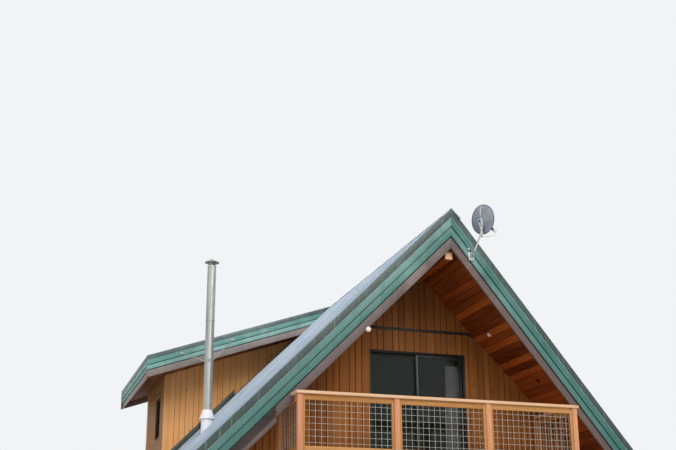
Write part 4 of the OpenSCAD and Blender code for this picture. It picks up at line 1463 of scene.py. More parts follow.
@dataclass
class Balcony(Part):
    """Deck boards, joists, posts and the mesh railing."""

    left: float = -2.620
    panel: float = 1.472
    post: float = 0.089
    stile: float = 0.043
    rail_y: float = -5.248
    front: float = -5.2925
    low: float = 3.366
    rail: float = 0.094
    clear: float = 0.730
    mesh: float = 0.1016
    wire: float = 0.005
    levels: int = 7
    top_wire: float = 0.067
    hold: float = 0.010
    span: float = 5.050
    joists: int = 9
    joist: float = 0.045
    board: float = 0.1465
    cap_wide: float = 0.140

    @property
    def step(self) -> float:
        """From one joist to the next."""
        return (self.span - self.joist) / (self.joists - 1)

    def build(self) -> None:
        """Builds the balcony."""
        kit = self.kit
        deck = Place((0, 0, 3.232), (0, -1, 0), (1, 0, 0))
        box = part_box("balcony_deck")
        boards = kit.field(deck, kit.finish.deck, -ROOF.wall_y, -self.front, pitch=self.board, gap=0.006,
                           anchor=-self.front, seed=500, Thickness=0.038, Low=box[0].x, High=box[1].x,
                           Chamfer=0.004)
        joined(boards, "deck_boards", ["balcony_deck"])
        kit.eased("balcony_joists", kit.finish.joist, "redwood", 0.003, 33)
        kit.eased("balcony_posts", kit.finish.post, "redwood", 0.006, 34)
        kit.eased("railing_posts", kit.finish.post, "redwood", 0.005, 35)
        self.cap()
        self.frames()
        self.meshes()
        self.screws()
        self.brackets()

    def screws(self) -> None:
        """Drives two screws through each deck board at every joist, and pins the railing's frames."""
        kit, rows, low = self.kit, [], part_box("balcony_deck")[0]
        count = round((ROOF.wall_y - self.front) / self.board)
        for inset in (0.030, self.board - 0.030):
            spot = Place((low.x + self.joist / 2, self.front + inset, low.z + 0.0384), (1, 0, 0), (0, 1, 0))
            rows.append(kit.studs.grow(spot, kit.finish.nail, Columns=self.joists, Rows=count,
                                       Pitch=self.step, Row_Pitch=self.board, Radius=0.0042, Rise=0.0012,
                                       Sides=8))
        tall = self.clear + 2 * self.rail
        for place, wide in self.bays()[:3]:
            for u in (self.stile / 2, wide + 1.5 * self.stile):
                spot = place.moved(u, self.rail / 2, self.stile / 2)
                rows.append(kit.studs.grow(spot, kit.finish.nail, Columns=1, Rows=2,
                                           Row_Pitch=tall - self.rail, Radius=0.0045, Rise=0.0014, Sides=8))
        joined(rows, "balcony_screws")

    def brackets(self) -> None:
        """Hangs each joist in a folded hanger, and stands the posts in steel shoes under steel caps."""
        shape, z0, y1 = Shape(44), 2.997, ROOF.wall_y
        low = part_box("balcony_joists")[0]
        for i in range(self.joists):
            x = low.x + i * self.step
            for y, way in ((y1 - 0.016, -1), (self.front + 0.0465, 1)):
                near, far = sorted((y, y + way * 0.050))
                for a, b in ((x - 0.0022, x - 0.0002), (x + 0.0452, x + 0.0472)):
                    shape.box((a, near, z0 - 0.001), (b, far, z0 + 0.140))
                shape.box((x - 0.0022, near, z0 - 0.0024), (x + 0.0472, far, z0 - 0.0004))
        posts_low, posts_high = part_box("balcony_posts")
        w, y0 = posts_high.y - posts_low.y, posts_low.y
        for x in (posts_low.x, posts_high.x - w):
            for a, b in ((x - 0.0045, x - 0.0005), (x + w + 0.0005, x + w + 0.0045)):
                shape.box((a, y0 + 0.030, 0.012), (b, y0 + w - 0.030, 0.190))
                shape.box((a, y0 + 0.030, 2.870), (b, y0 + w - 0.030, 2.9925))
            for side, face in ((-1, x - 0.0045), (1, x + w + 0.0045)):
                for z in (0.070, 0.140, 2.905, 2.955):
                    shape.bolt((face, y0 + w / 2, z), (side, 0, 0), 0.009)
            shape.box((x - 0.0045, y0 - 0.0005, 0.0), (x + w + 0.0045, y0 + w + 0.0005, 0.012))
            shape.box((x - 0.025, y0 - 0.040, 2.9925), (x + w + 0.025, y0 + w + 0.010, 2.9965))
        shape.done("balcony_hangers", self.finish.steel, "wire", 0.0006)

    def cap(self) -> None:
        """Lays the cap, mitred boards over the posts."""
        low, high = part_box("railing_cap")
        w, front = self.cap_wide, Shape(36)
        front.prism([(low.x, low.y, low.z), (high.x, low.y, low.z), (high.x - w, low.y + w, low.z),
                     (low.x + w, low.y + w, low.z)], (0, 0, high.z - low.z))
        front.done("railing_cap_front", self.finish.cap_x, "redwood", 0.005, instead=["railing_cap"])
        sides = Shape(37)
        for x, inner in ((low.x, low.x + w), (high.x, high.x - w)):
            sides.prism([(x, low.y + 0.0015, low.z), (inner, low.y + w + 0.0015, low.z),
                         (inner, high.y, low.z), (x, high.y, low.z)], (0, 0, high.z - low.z))
        sides.done("railing_cap_sides", self.finish.cap_y, "redwood", 0.005)

    def bays(self) -> list[tuple[Place, float]]:
        """Every framed panel: its low outer corner and its clear width."""
        step = self.panel + self.post + 2 * self.stile
        found = [(Place((self.left + self.post + i * step, self.rail_y, self.low), (1, 0, 0)), self.panel)
                 for i in range(3)]
        depth = ROOF.wall_y - self.front - self.post - 3 * self.stile
        for x in (self.left + self.post / 2, self.left + 3 * step + self.post / 2):
            found.append((Place((x, self.front + self.post, self.low), (0, 1, 0)), depth))
        return found

    def frames(self) -> None:
        """Builds each frame from two stiles and two rails."""
        stiles, level, returns = Shape(41), Shape(42), Shape(43)
        tall, h = self.clear + 2 * self.rail, self.stile / 2
        for place, wide in self.bays():
            rails = level if abs(place.across[0]) > 0.5 else returns
            for u in (0, wide + self.stile):
                stiles.block(place.matrix, (u, 0, -h), (u + self.stile, tall, h))
            for v in (0, tall - self.rail):
                rails.block(place.matrix, (self.stile + 0.001, v, -h),
                            (wide + self.stile - 0.001, v + self.rail, h))
        stiles.done("railing_stiles", self.finish.frame_z, "redwood", 0.003, instead=["railing_frames"])
        level.done("railing_rails", self.finish.frame_x, "redwood", 0.003)
        returns.done("railing_side_rails", self.finish.frame_y, "redwood", 0.003)

    def meshes(self) -> None:
        """Grows the welded wires of every panel."""
        front, sides, rods, half = [], [], self.kit.rods, self.wire / 2
        common = {"Pitch": self.mesh, "Radius": half}
        for place, wide in self.bays():
            count = int(wide / self.mesh)
            first = self.stile + (wide - (count - 1) * self.mesh) / 2
            target = front if abs(place.across[0]) > 0.5 else sides
            target.append(rods.grow(place, self.finish.wire, Count=count, Start=first,
                                    Low=self.rail - self.hold, High=self.rail + self.clear + self.hold,
                                    Off=half, **common))
            lowest = self.rail + self.clear - self.top_wire - (self.levels - 1) * self.mesh + half
            turned = Place(place.origin, place.up, tuple(-v for v in place.across))
            target.append(rods.grow(turned, self.finish.wire, Count=self.levels, Start=lowest,
                                    Low=-(self.stile + wide + self.hold), High=-(self.stile - self.hold),
                                    Off=-half, **common))
        joined(front, "front_wires", ["railing_mesh_front"])
        joined(sides, "side_wires", ["railing_mesh_sides"])


@dataclass
class Openings(Part):
    """Doors and windows with their casings, seals, handles and the curtain."""

    def build(self) -> None:
        """Dresses the openings."""
        kit = self.kit
        kit.eased("door_frames", kit.finish.bronze, "bronze_frame", 0.002, 51)
        kit.eased("window_frames", kit.finish.bronze, "bronze_frame", 0.003, 52)
        kit.paint(kit.finish.pane, "door_glass", "window_glass")
        trim, light = Shape(53), Shape(57)
        y = ROOF.wall_y
        inner, outer, brow = 0.905, 0.929, 0.940
        for low in STOREYS:
            for x0, x1 in ((-outer, -inner), (inner, outer)):
                trim.box((x0, y - 0.019, low), (x1, y - 0.0005, low + 2.066))
            trim.box((-outer, y - 0.020, low + 2.0665), (outer, y - 0.0005, low + 2.085))
            trim.prism([(-brow, y - out, low + up) for out, up in (
                (0.030, 2.082), (0.030, 2.086), (0.0, 2.094), (0.0, 2.0855))], (2 * brow, 0, 0))
            # The strip down the meeting stile is paler than the frame: a painted highlight; the one below is
            # the sill track.
            light.box((-0.0005, y + 0.0185, low + 0.03), (0.0195, y + 0.0205, low + 2.043))
            light.box((-0.88, y + 0.012, low + 0.006), (0.88, y + 0.018, low + 0.022))
        trim.done("door_edge_trim", kit.finish.bronze, "dark_trim", 0.0015)
        light.done("door_stile_highlight_and_track", kit.finish.edge, "bronze_frame", 0.0005)
        self.handles()
        self.seals()
        self.curtain()
        self.window_casings()

    def handles(self) -> None:
        """Hangs a pull on the front leaf of each door."""
        shape, y = Shape(58), ROOF.wall_y + 0.020
        for low in STOREYS:
            x, z = 0.869, low + 1.02
            shape.box((x - 0.014, y - 0.004, z - 0.13), (x + 0.014, y + 0.001, z + 0.13))
            shape.tube([(x, y, z - 0.10), (x, y - 0.018, z - 0.10), (x, y - 0.034, z - 0.085),
                        (x, y - 0.036, z), (x, y - 0.034, z + 0.085), (x, y - 0.018, z + 0.10),
                        (x, y, z + 0.10)], 0.0075)
        shape.done("door_handles", self.finish.gasket, "bronze_frame", 0.001)

    def seals(self) -> None:
        """Runs a black seal round every pane of the doors."""
        shape, y = Shape(59), ROOF.wall_y
        for low in STOREYS:
            for x0, x1, y0 in ((-0.851, -0.021, 0.072), (0.021, 0.851, 0.028)):
                z0, z1, w = low + 0.064, low + 2.009, 0.007
                for u0, v0, u1, v1 in bars(x0, z0, x1, z1, w):
                    shape.box((u0, y + y0 - 0.002, v0), (u1, y + y0 + 0.003, v1))
        shape.done("door_seals", self.finish.gasket, "bronze_frame")

    def curtain(self) -> None:
        """Hangs a narrow curtain in soft folds behind the right leaf of the balcony door."""
        left, right, low, high, y, deep = 0.632, 0.893, 3.325, 5.222, -3.772, 0.013
        steps, rows, folds = 112, 12, 7.0
        points, faces, cut = [], [], 0.0
        for row in range(rows + 1):
            up = row / rows
            for i in range(steps + 1):
                u = i / steps
                swing = 2 * math.pi * folds * u + 0.9 * math.sin(5.1 * u)
                wave = math.sin(swing) + 0.25 * math.sin(17.0 * u + 1.3)
                points.append((left + (right - left) * u, y + deep * wave * (1.0 - 0.25 * up),
                               low + (high - low) * up))
        for row in range(rows):
            for i in range(steps):
                a = row * (steps + 1) + i
                faces.append((a, a + 1, a + steps + 2, a + steps + 1))
                p, q = Vector(points[a]), Vector(points[a + 1])
                cut += (q - p).length / rows
        mesh = bpy.data.meshes.new("door_curtain")
        mesh.from_pydata(points, [], faces)
        mesh.shade_smooth()
        mesh.materials.append(self.finish.curtain)
        piece = settle(added("door_curtain", mesh), "door_curtain")
        rail = Shape(60)
        rail.tube([(-0.94, y, high + 0.012), (0.94, y, high + 0.012)], 0.009)
        for x in (-0.93, 0.0, 0.93):
            rail.box((x - 0.006, y, high + 0.006), (x + 0.006, ROOF.wall_y + 0.150, high + 0.018))
        rail.done("curtain_rail", self.finish.bronze, "bronze_frame", 0.001)

    def window_casings(self) -> None:
        """Frames every window with boards and a sill."""
        shape, gold = Shape(55), Shape(56)
        seal, pan, d = Shape(62), Shape(63), DORMER
        spots = [(place, x, SILL) for place in (FRONT, BACK) for x in (-WINDOW_X, WINDOW_X)]
        spots += [(BACK, 0.0, GABLE_SILL)]
        spots += [(place, sign * y, SILL) for place, sign in ((LEFT, -1), (RIGHT, 1)) for y in SIDE_WINDOWS]
        cases = [(place, Hole.about(mid, low), 0.085, -0.065, shape) for place, mid, low in spots]
        cases.append((DORMER_SIDE, Hole.about(-d.window_y, d.window_z, d.window_w, d.window_h), 0.068,
                      -0.05, gold))
        for place, hole, w, pane, target in cases:
            self.fittings(place.matrix, hole, pane, w, seal, pan)
            a, b, z0, z1 = hole.left, hole.right, hole.low, hole.high
            for u0, u1, v0, v1, t in ((a - w, a, z0, z1, 0.022), (b, b + w, z0, z1, 0.022),
                                      (a - w, b + w, z1 + 0.001, z1 + w, 0.024),
                                      (a - w, b + w, z0 - w, z0 - 0.001, 0.026)):
                target.block(place.matrix, (u0, v0, 0), (u1, v1, t))
        shape.done("window_casings", self.finish.siding, "siding", 0.003)
        gold.done("dormer_window_casings", self.finish.shaded_siding, "siding", 0.003)
        seal.done("window_seals", self.finish.gasket, "bronze_frame", 0.0008)
        pan.done("window_drip_caps", self.finish.flashing, "dark_trim", 0.001)

    @staticmethod
    def fittings(m: Matrix, hole: Hole, pane: float, casing: float, seal: Shape, pan: Shape) -> None:
        """Adds a window's glazing seal, sash bead, sill nosing and drip cap.

        Args:
            m: The wall's frame.
            hole: The window's opening.
            pane: How far in the pane's outer face lies.
            casing: Width of the casing boards.
            seal: Takes the seals and beads.
            pan: Takes the nosing and the cap.
        """
        a, b, z0, z1 = hole.left, hole.right, hole.low, hole.high
        for inset, wide, face in ((0.048, 0.009, pane + 0.004), (0.034, 0.010, 0.0035)):
            for u0, v0, u1, v1 in bars(a + inset, z0 + inset, b - inset, z1 - inset, wide):
                seal.block(m, (u0, v0, face - 0.006), (u1, v1, face))
        side, head = casing + 0.012, z1 + casing
        pan.block(m, (a - side, head + 0.001, 0.0), (b + side, head + 0.004, 0.038))
        pan.block(m, (a - side, head - 0.010, 0.0355), (b + side, head + 0.001, 0.038))
        pan.block(m, (a - 0.006, z0 - 0.001, -0.02), (b + 0.006, z0 + 0.002, 0.034))


@dataclass
class StovePipe(Part):
    """The flue with its lock seam, joints, braces, boot and rain cap."""

    x: float = -3.148
    y: float = -0.650
    radius: float = 0.089
    low: float = 4.715
    top: float = 7.700
    brace_z: float = 5.710
    ends: tuple[float, float] = (-3.488, -2.411)
    beads: tuple[float, ...] = (6.539, 4.834, 4.792)
    joint: tuple[float, float] = (6.527, 6.552)
    seam_turns: tuple[float, float] = (-65.0, 115.0)

    def build(self) -> None:
        """Dresses the pipe."""
        kit = self.kit
        kit.paint(kit.finish.zinc, "stove_pipe", "pipe_cap")
        kit.paint(kit.finish.pale_metal, "pipe_flashing")
        for name in ("stove_pipe", "pipe_cap", "pipe_flashing"):
            smooth(kit.nodes[name])
        self.joints()
        self.braces()
        self.boot()

    def bead(self, shape: Shape, z: float, half: float, out: float, radius: float = 0.0) -> None:
        """Adds a rolled bead round the pipe."""
        r = radius or self.radius
        shape.lathe([(r - 0.001, -half), (r + 0.7 * out, -0.7 * half), (r + out, 0.0),
                     (r + 0.7 * out, 0.7 * half), (r - 0.001, half)], (self.x, self.y, z), sides=48,
                     closed=True)

    def joints(self) -> None:
        """Rolls the beads of each joint and folds the seam down the pipe."""
        rings = Shape(61)
        for z in self.beads:
            self.bead(rings, z, 0.008, 0.005)
        self.bead(rings, 6.515, 0.004, 0.002)
        self.bead(rings, self.top - 0.012, 0.006, 0.003)
        r = self.radius
        for angle in self.seam_turns:
            way = Matrix.Translation((self.x, self.y, 0)) @ Matrix.Rotation(math.radians(angle), 4, "Z")
            for low, high in ((self.low + 0.13, self.joint[0]), (self.joint[1], self.top - 0.02)):
                rings.block(way, (r - 0.003, -0.006, low), (r + 0.0022, 0.006, high))
        rings.done("pipe_joints", self.finish.zinc, "pipe_steel")

    def braces(self) -> None:
        """Clamps the band round the pipe and runs its rods to the dormer's fascia."""
        shape, r, z = Shape(64), self.radius, self.brace_z
        shape.lathe([(r - 0.001, -0.030), (r + 0.003, -0.030), (r + 0.006, -0.026), (r + 0.003, -0.021),
                     (r + 0.003, 0.021), (r + 0.006, 0.026), (r + 0.003, 0.030), (r - 0.001, 0.030)],
                    (self.x, self.y, z), sides=48, closed=True)
        ear = Matrix.Translation((self.x, self.y, z)) @ Matrix.Rotation(math.radians(-100.0), 4, "Z")
        for side in (-1, 1):
            shape.block(ear, (r, side * 0.010 - 0.0015, -0.022), (r + 0.030, side * 0.010 + 0.0015, 0.022))
        across = ear.to_3x3() @ Vector((0, 1, 0))
        for up in (-0.011, 0.011):
            shape.bolt(ear @ Vector((r + 0.017, 0.0115, up)), across, 0.006)
            shape.tube([ear @ Vector((r + 0.017, y, up)) for y in (-0.018, 0.012)], 0.003, 8)
        face = DORMER.rake_y + 0.014
        for end in self.ends:
            side = 1 if end > self.x else -1
            start = Vector((self.x + side * 0.074, self.y + 0.058, z))
            stop = Vector((end, face - 0.009, DORMER.z(end, 0.150)))
            shape.tube([start, start.lerp(stop, 0.5), stop], 0.0085, 12)
            shape.box((stop.x - 0.030, face - 0.005, stop.z - 0.020),
                      (stop.x + 0.030, face - 0.0005, stop.z + 0.020))
            for dx in (-0.020, 0.020):
                shape.bolt((stop.x + dx, face - 0.005, stop.z), (0, -1, 0), 0.005)
            lug = start - Vector((side * 0.010, 0.008, 0))
            shape.box((lug.x - 0.012, lug.y - 0.012, z - 0.014), (lug.x + 0.012, lug.y + 0.014, z + 0.014))
        shape.done("pipe_brace_set", self.finish.zinc, "pipe_steel", 0.001, instead=["pipe_braces"])

    def boot(self) -> None:
        """Hems the storm collar and ties its neck."""
        shape = Shape(65)
        self.bead(shape, 4.531, 0.005, 0.003, 0.152)
        self.bead(shape, 4.700, 0.010, 0.004, 0.0905)
        self.bead(shape, 4.518, 0.006, 0.004, 0.1145)
        shape.done("pipe_boot_hems", self.finish.pale_metal, "flashing")


def smooth(piece: Object) -> None:
    """Shades a packed round node smooth, which leaves its shape."""
    piece.data.shade_smooth()
    piece.data.set_sharp_from_angle(angle=math.radians(SHARP))


@dataclass
class DishDress(Part):
    """The satellite dish: a pressed reflector, its bracket, mast and foot, and the feed on its arm.

    Its own frame has Z along the aim, Y up and X across.
    """

    at: Point = (0.578, -5.600, 7.449)
    turn: float = 110.5
    tilt: float = 81.5
    half: float = 0.263
    deep: float = 0.062
    sheet: float = 0.004
    arm_low: float = -0.307
    foot_x: float = 0.390
    foot_z: float = 6.770

    @property
    def own(self) -> Matrix:
        """The dish's own frame."""
        turn, tilt = math.radians(self.turn), math.radians(self.tilt)
        return Matrix.Translation(self.at) @ Matrix.Rotation(turn, 4, "Z") @ Matrix.Rotation(tilt, 4, "X")

    def bolt(self, shape: Shape, at: Sequence[float], way: Sequence[float]) -> None:
        """Adds a bolt head at a point of the dish's own frame."""
        shape.bolt(self.own @ Vector(at), self.own.to_3x3() @ Vector(way), 0.006)

    def sag(self, r: float) -> float:
        """Depth of the reflector's face at a distance from its middle."""
        return self.deep * (r / self.half) ** 2

    def build(self) -> None:
        """Builds the dish."""
        self.reflector()
        self.bracket()
        self.mast()
        self.arm()

    def turned(self, shape: Shape, profile: Sequence[tuple[float, float]], sides: int = 48,
               centre: Sequence[float] = (0.0, 0.0, 0.0), lean: float = 0.0, closed: bool = False) -> None:
        """Adds a part turned about the aim, at a point of the dish's own frame."""
        m = self.own
        axis = m.to_3x3() @ (Matrix.Rotation(math.radians(lean), 3, "X") @ Vector((0, 0, 1)))
        shape.lathe(profile, m @ Vector(centre), axis, sides, closed)

    def reflector(self) -> None:
        """Presses the bowl with its rolled rim and the rib down its back, the rib pale as a painted
        highlight.
        """
        bowl, rim, rib = Shape(91), Shape(92), Shape(93)
        steps = [self.half * i / 14 for i in range(14)] + [self.half * 0.985]
        face = [(r, self.sag(r)) for r in steps]
        back = [(r, self.sag(r) - self.sheet) for r in reversed(steps)]
        self.turned(bowl, face + back, 64)
        edge = self.sag(self.half)
        self.turned(rim, [(self.half - 0.006, edge - 0.003), (self.half - 0.003, edge - 0.0005),
                          (self.half, edge - 0.003), (self.half, edge - 0.011),
                          (self.half - 0.003, edge - 0.013), (self.half - 0.006, edge - 0.010)],
                    64, closed=True)
        m, loops = self.own, []
        for i in range(13):
            r = 0.035 + 0.205 * i / 12
            rise = 0.006 * math.sin(math.pi * i / 12) ** 0.5 if 0 < i < 12 else 0.0005
            z, w = self.sag(r) - self.sheet, 0.010 + 0.006 * i / 12
            loops.append([m @ Vector(p) for p in ((-w, r, z + 0.001), (-w * 0.6, r, z - rise),
                                                  (w * 0.6, r, z - rise), (w, r, z + 0.001))])
        rib.rings(loops, False)
        bowl.done("dish_bowl", self.finish.dish, "dish_grey", instead=["dish_reflector"])
        rim.done("dish_rim", self.finish.rim, "dish_grey")
        rib.done("dish_rib_highlight", self.finish.rib, "dish_grey")

    def bracket(self) -> None:
        """Folds the saddle behind the bowl, with its cheeks, spine and bolts."""
        shape, dark, m = Shape(94), Shape(95), self.own
        shape.block(m, (-0.042, -0.150, -0.012), (0.042, 0.016, -0.006))
        for side in (-1, 1):
            shape.block(m, *ordered((side * 0.030, -0.150, -0.038), (side * 0.034, 0.006, -0.011)))
            shape.block(m, *ordered((side * 0.010, self.arm_low - 0.016, -0.048),
                                    (side * 0.014, -0.060, -0.012)))
            for y in (-0.010, -0.138):
                self.bolt(shape, (side * 0.022, y, -0.012), (0, 0, -1))
            for y in (-0.040, -0.110):
                self.bolt(shape, (side * 0.034, y, -0.026), (side, 0, 0))
        shape.block(m, (-0.010, self.arm_low + 0.018, -0.048), (0.010, -0.060, -0.044))
        shape.block(m, (-0.034, -0.004, -0.038), (0.034, 0.004, -0.034))
        # Black blocks in the slots between cheeks and spine: painted shade.
        dark.block(m, (-0.029, -0.148, -0.020), (-0.015, -0.006, -0.0125))
        dark.block(m, (0.015, -0.148, -0.020), (0.029, -0.006, -0.0125))
        shape.done("dish_bracket", self.finish.bracket, "dish_grey", 0.0008, instead=["dish_mast"])
        dark.done("dish_bracket_slot_shadows", self.finish.gasket, "dish_grey")

    def mast(self) -> None:
        """Bends the mast from the foot on the rake up to the bracket, with its brace and clamps."""
        shape, x, z = Shape(96), self.foot_x, self.foot_z
        y = ROOF.edge(x, 0.014)
        top, m = (0.548, -5.650, 7.170), self.own
        head = m @ Vector((-0.026, -0.160, -0.040))
        path = [(x + 0.002, y - 0.026, z + 0.012), (x + 0.012, y - 0.060, z + 0.050), (0.411, -5.656, 6.850),
                (0.430, -5.6555, 6.894), (0.500, -5.652, 7.058), top]
        last = Vector(top)
        path += [last.lerp(head, t) + Vector((0.004, -0.004, 0.0)) * math.sin(math.pi * t)
                 for t in (0.3, 0.65, 1.0)]
        shape.tube(path, 0.0145, 16)
        shape.tube([last.lerp(head, 0.55), head + (head - last).normalized() * 0.030], 0.021, 16)
        shape.box((x - 0.052, y - 0.0045, z - 0.075), (x + 0.052, y - 0.0005, z + 0.075))
        for side in (-1, 1):
            x0, x1 = sorted((x + side * 0.018, x + side * 0.022))
            shape.prism([(x0, y - 0.004, z - 0.045), (x0, y - 0.050, z - 0.004), (x0, y - 0.050, z + 0.030),
                         (x0, y - 0.004, z + 0.060)], (x1 - x0, 0, 0))
            shape.bolt((x + side * 0.022, y - 0.032, z + 0.012), (side, 0, 0), 0.007)
            for up in (-0.058, 0.062):
                shape.bolt((x + side * 0.038, y - 0.0045, z + up), (0, -1, 0), 0.006)
        joint = Vector((0.409, -5.652, 6.852))
        far_x = 0.345
        foot = Vector((far_x, ROOF.edge(far_x, 0.014) - 0.006, 6.894))
        shape.tube([joint, foot], 0.0065, 10)
        shape.box((foot.x - 0.016, foot.y - 0.001, foot.z - 0.020),
                  (foot.x + 0.016, foot.y + 0.0055, foot.z + 0.020))
        shape.lathe([(0.0146, -0.016), (0.0195, -0.014), (0.0195, 0.014), (0.0146, 0.016)], joint,
                    Vector(path[3]) - Vector(path[2]), 16, True)
        shape.done("dish_mast_tube", self.finish.steel, "dish_grey", 0.0008)

    def arm(self) -> None:
        """Bends the feed arm out below the bowl and up to the feed, which looks back at it."""
        shape, dark, m, low = Shape(97), Shape(98), self.own, self.arm_low
        spine = [(0, low, -0.040), (0, low, 0.040), (0, low + 0.008, 0.130), (0, low + 0.022, 0.220),
                 (0, low + 0.040, 0.300), (0, low + 0.056, 0.328), (0, low + 0.082, 0.342),
                 (0, low + 0.118, 0.346)]
        loops = []
        for i, p in enumerate(spine):
            before, after = Vector(spine[max(i - 1, 0)]), Vector(spine[min(i + 1, len(spine) - 1)])
            way = (after - before).normalized()
            up = Vector((1, 0, 0)).cross(way).normalized()
            half = 0.0115 - 0.002 * i / (len(spine) - 1)
            loops.append([m @ (Vector(p) + a * half * Vector((1, 0, 0)) + b * half * up)
                          for a, b in ((-1, -0.6), (-0.6, -1), (0.6, -1), (1, -0.6), (1, 0.6), (0.6, 1),
                                       (-0.6, 1), (-1, 0.6))])
        shape.rings(loops, False)
        feed = (0, low + 0.140, 0.312)
        horn = [(0.0, 0.046), (0.020, 0.046), (0.026, 0.040), (0.027, 0.010), (0.022, 0.004), (0.022, -0.010),
                (0.031, -0.016), (0.033, -0.036), (0.031, -0.042), (0.0, -0.042)]
        self.turned(shape, horn, 32, feed, 13.0)
        shape.block(m, (-0.016, low + 0.100, 0.300), (0.016, low + 0.122, 0.350))
        self.turned(dark, [(0.0, -0.046), (0.024, -0.046), (0.026, -0.041), (0.0, -0.041)], 24, feed, 13.0)
        for side in (-1, 1):
            self.bolt(shape, (side * 0.0115, low + 0.001, -0.024), (side, 0, 0))
        shape.done("dish_feed_arm", self.finish.plastic, "plastic_white", 0.0008, instead=["dish_arm"])
        dark.done("dish_feed_cover", self.finish.rim, "plastic_white")


@dataclass
class Rest(Part):
    """Slab, floors, beam, rafters and lights."""

    def build(self) -> None:
        """Dresses what is left."""
        kit = self.kit
        kit.eased("foundation_slab", kit.finish.concrete, "concrete", 0.012, 70)
        kit.paint(kit.finish.framing, "upper_floor", "rafters")
        kit.eased("ridge_beam", kit.finish.soffit, "framing_wood", 0.006, 71)
        low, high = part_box("ridge_beam")
        ends = Shape(72)
        for y0, y1 in ((low.y - 0.004, low.y + 0.03), (high.y - 0.03, high.y + 0.004)):
            ends.box((low.x - 0.002, y0, low.z - 0.002), (high.x + 0.002, y1, low.z + 0.128))
        ends.done("ridge_beam_ends", kit.finish.beam, "framing_wood", 0.008)
        self.lights()

    def lights(self) -> None:
        """Builds the two round lights with their lenses, and a sensor and a vent on the soffit."""
        kit, roof = self.kit, ROOF
        body, lens, bracket = Shape(73), Shape(74), Shape(75)
        c, s = math.cos(roof.pitch), math.sin(roof.pitch)
        turn = math.atan(roof.prow)
        x = -1.410
        spots = [(Vector((x, roof.edge(x, 0.056), 5.410)), Vector((-math.sin(turn), -math.cos(turn), 0))),
                 (Vector((1.205, -4.500, roof.z(1.205, roof.depth))), Vector((-s, 0, -c)))]
        for at, way in spots:
            body.lathe([(0.0, -0.004), (0.045, -0.004), (0.045, 0.007), (0.041, 0.010), (0.040, 0.026),
                        (0.037, 0.029), (0.035, 0.029), (0.034, 0.024), (0.0, 0.024)], at, way, 40)
            lens.lathe([(0.0345, 0.023), (0.0335, 0.029), (0.028, 0.0335), (0.018, 0.037), (0.008, 0.0385),
                        (0.0, 0.039)], at, way, 40)
        at = spots[1][0] + Vector((-0.062, 0, 0.062 * roof.fall))
        bracket.lathe([(0.0, -0.002), (0.026, -0.002), (0.026, 0.018), (0.020, 0.024), (0.0, 0.024)], at,
                      spots[1][1], 24)
        body.done("light_bodies", kit.finish.lamp_body, "plastic_white", instead=["soffit_lights"])
        lens.done("light_lenses", kit.finish.lens, "plastic_white")
        vent = Vector((2.010, -4.720, roof.z(2.010, roof.depth + 0.012)))
        bracket.lathe([(0.0, -0.002), (0.046, -0.002), (0.046, 0.004), (0.040, 0.007), (0.034, 0.007),
                       (0.032, 0.003), (0.0, 0.003)], vent, spots[1][1], 32)
        slat = Matrix.Translation(vent) @ spots[1][1].to_track_quat("Z", "Y").to_matrix().to_4x4()
        for k in range(-2, 3):
            half = math.sqrt(0.031 ** 2 - (0.012 * k) ** 2)
            bracket.block(slat, (-half, 0.012 * k - 0.002, 0.001), (half, 0.012 * k + 0.002, 0.006))
        bracket.done("soffit_sensor_and_vent", kit.finish.gasket, "bronze_frame")


@dataclass(frozen=True)
class Lamp:
    """One soft lamp that looks at the cabin, in metres and watts."""

    name: str
    place: Point
    power: float
    tint: Rgb
    size: float = 22.0
    target: Point = (0.0, 0.0, 3.5)

    def hang(self) -> None:
        """Hangs it, unseen by the camera."""
        data = bpy.data.lights.new(self.name, "AREA")
        data.size, data.energy, data.color = self.size, self.power, self.tint
        lamp = added(self.name, data)
        lamp.visible_camera = False
        lamp.location = self.place
        way = Vector(self.target) - Vector(self.place)
        lamp.rotation_euler = way.to_track_quat("-Z", "Y").to_euler()


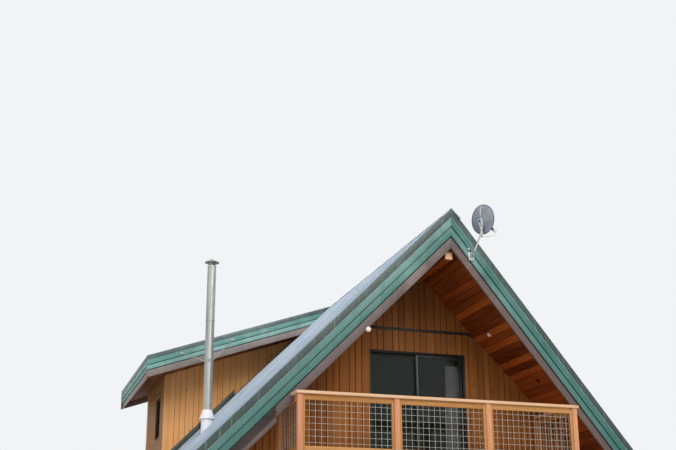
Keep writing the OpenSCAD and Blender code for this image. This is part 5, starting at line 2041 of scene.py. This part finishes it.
@dataclass(frozen=True)
class Studio:
    """Floor, lamps, pale surroundings and the camera at the photo's angle."""

    place: Point = (-7.0938, -20.7683, 1.3609)
    yaw: float = 18.42
    rise: float = 16.79
    roll: float = -0.206
    lens: float = 54.672
    shift: float = 0.075
    floor_half: float = 400.0
    lamps: tuple[Lamp, ...] = (
        Lamp("key", (2.0, -40.0, 28.0), 10300.0, (1.0, 0.98, 0.95)),
        Lamp("fill", (-32.0, -22.0, 24.0), 1700.0, (0.96, 0.98, 1.0)),
        Lamp("rim", (10.0, 36.0, 28.0), 4200.0, (1.0, 1.0, 1.0)),
    )

    def build(self) -> None:
        """Sets the stage."""
        self.floor()
        self.world()
        for lamp in self.lamps:
            lamp.hang()
        self.camera()

    def floor(self) -> None:
        """Lays the pale floor."""
        shape = bpy.data.meshes.new("floor")
        h = self.floor_half
        shape.from_pydata([(-h, -h, 0), (h, -h, 0), (h, h, 0), (-h, h, 0)], [], [(0, 1, 2, 3)])
        floor = added("studio_floor", shape)
        shape.materials.append(PlainFinish("floor_paper", "e4e6e6", "e8eaea", 0.4, 0.9).build())

    def world(self) -> None:
        """Surrounds the cabin with even light that shows white to the camera."""
        world = bpy.data.worlds.new("studio")
        bpy.context.scene.world = world
        world.use_nodes = True
        tree = Tree(world.node_tree)
        rays = tree.node("ShaderNodeLightPath")
        seen = Ex(tree, rays.outputs["Is Camera Ray"]).most(Ex(tree, rays.outputs["Is Glossy Ray"]))
        seen = seen.most(Ex(tree, rays.outputs["Is Transmission Ray"]))
        strength = 0.55 + seen * 0.40
        back = tree.node("ShaderNodeBackground", None, {"Color": (0.93, 0.95, 0.97, 1), "Strength": strength})
        tree.node("ShaderNodeOutputWorld", None, {"Surface": back.outputs[0]})

    def camera(self) -> None:
        """Stands the camera where the photographer stood."""
        data = bpy.data.cameras.new("camera")
        data.lens, data.sensor_width, data.sensor_fit = self.lens, 36.0, "HORIZONTAL"
        data.shift_y = self.shift
        data.clip_end = 900.0
        camera = added("camera", data)
        turn = Matrix.Identity(3)
        for angle, axis in ((-self.yaw, "Z"), (90 + self.rise, "X"), (self.roll, "Z")):
            turn = turn @ Matrix.Rotation(math.radians(angle), 3, axis)
        camera.location = self.place
        camera.rotation_euler = turn.to_euler()
        bpy.context.scene.camera = camera


def main() -> None:
    """Builds the whole scene."""
    logging.basicConfig(level=logging.INFO, format="%(name)s %(message)s")
    scene = bpy.context.scene
    scene.view_settings.view_transform = "Standard"
    kit = Kit(SimpleNamespace(**{key: finish.build() for key, finish in FINISHES.items()}), frame["nodes"])
    for part in (Siding, Soffits, Rakes, RoofSheet, DormerDress, Balcony, Openings, StovePipe, DishDress,
                 Rest):
        part(kit).build()
    Studio().build()


if __name__ == "__main__":
    main()
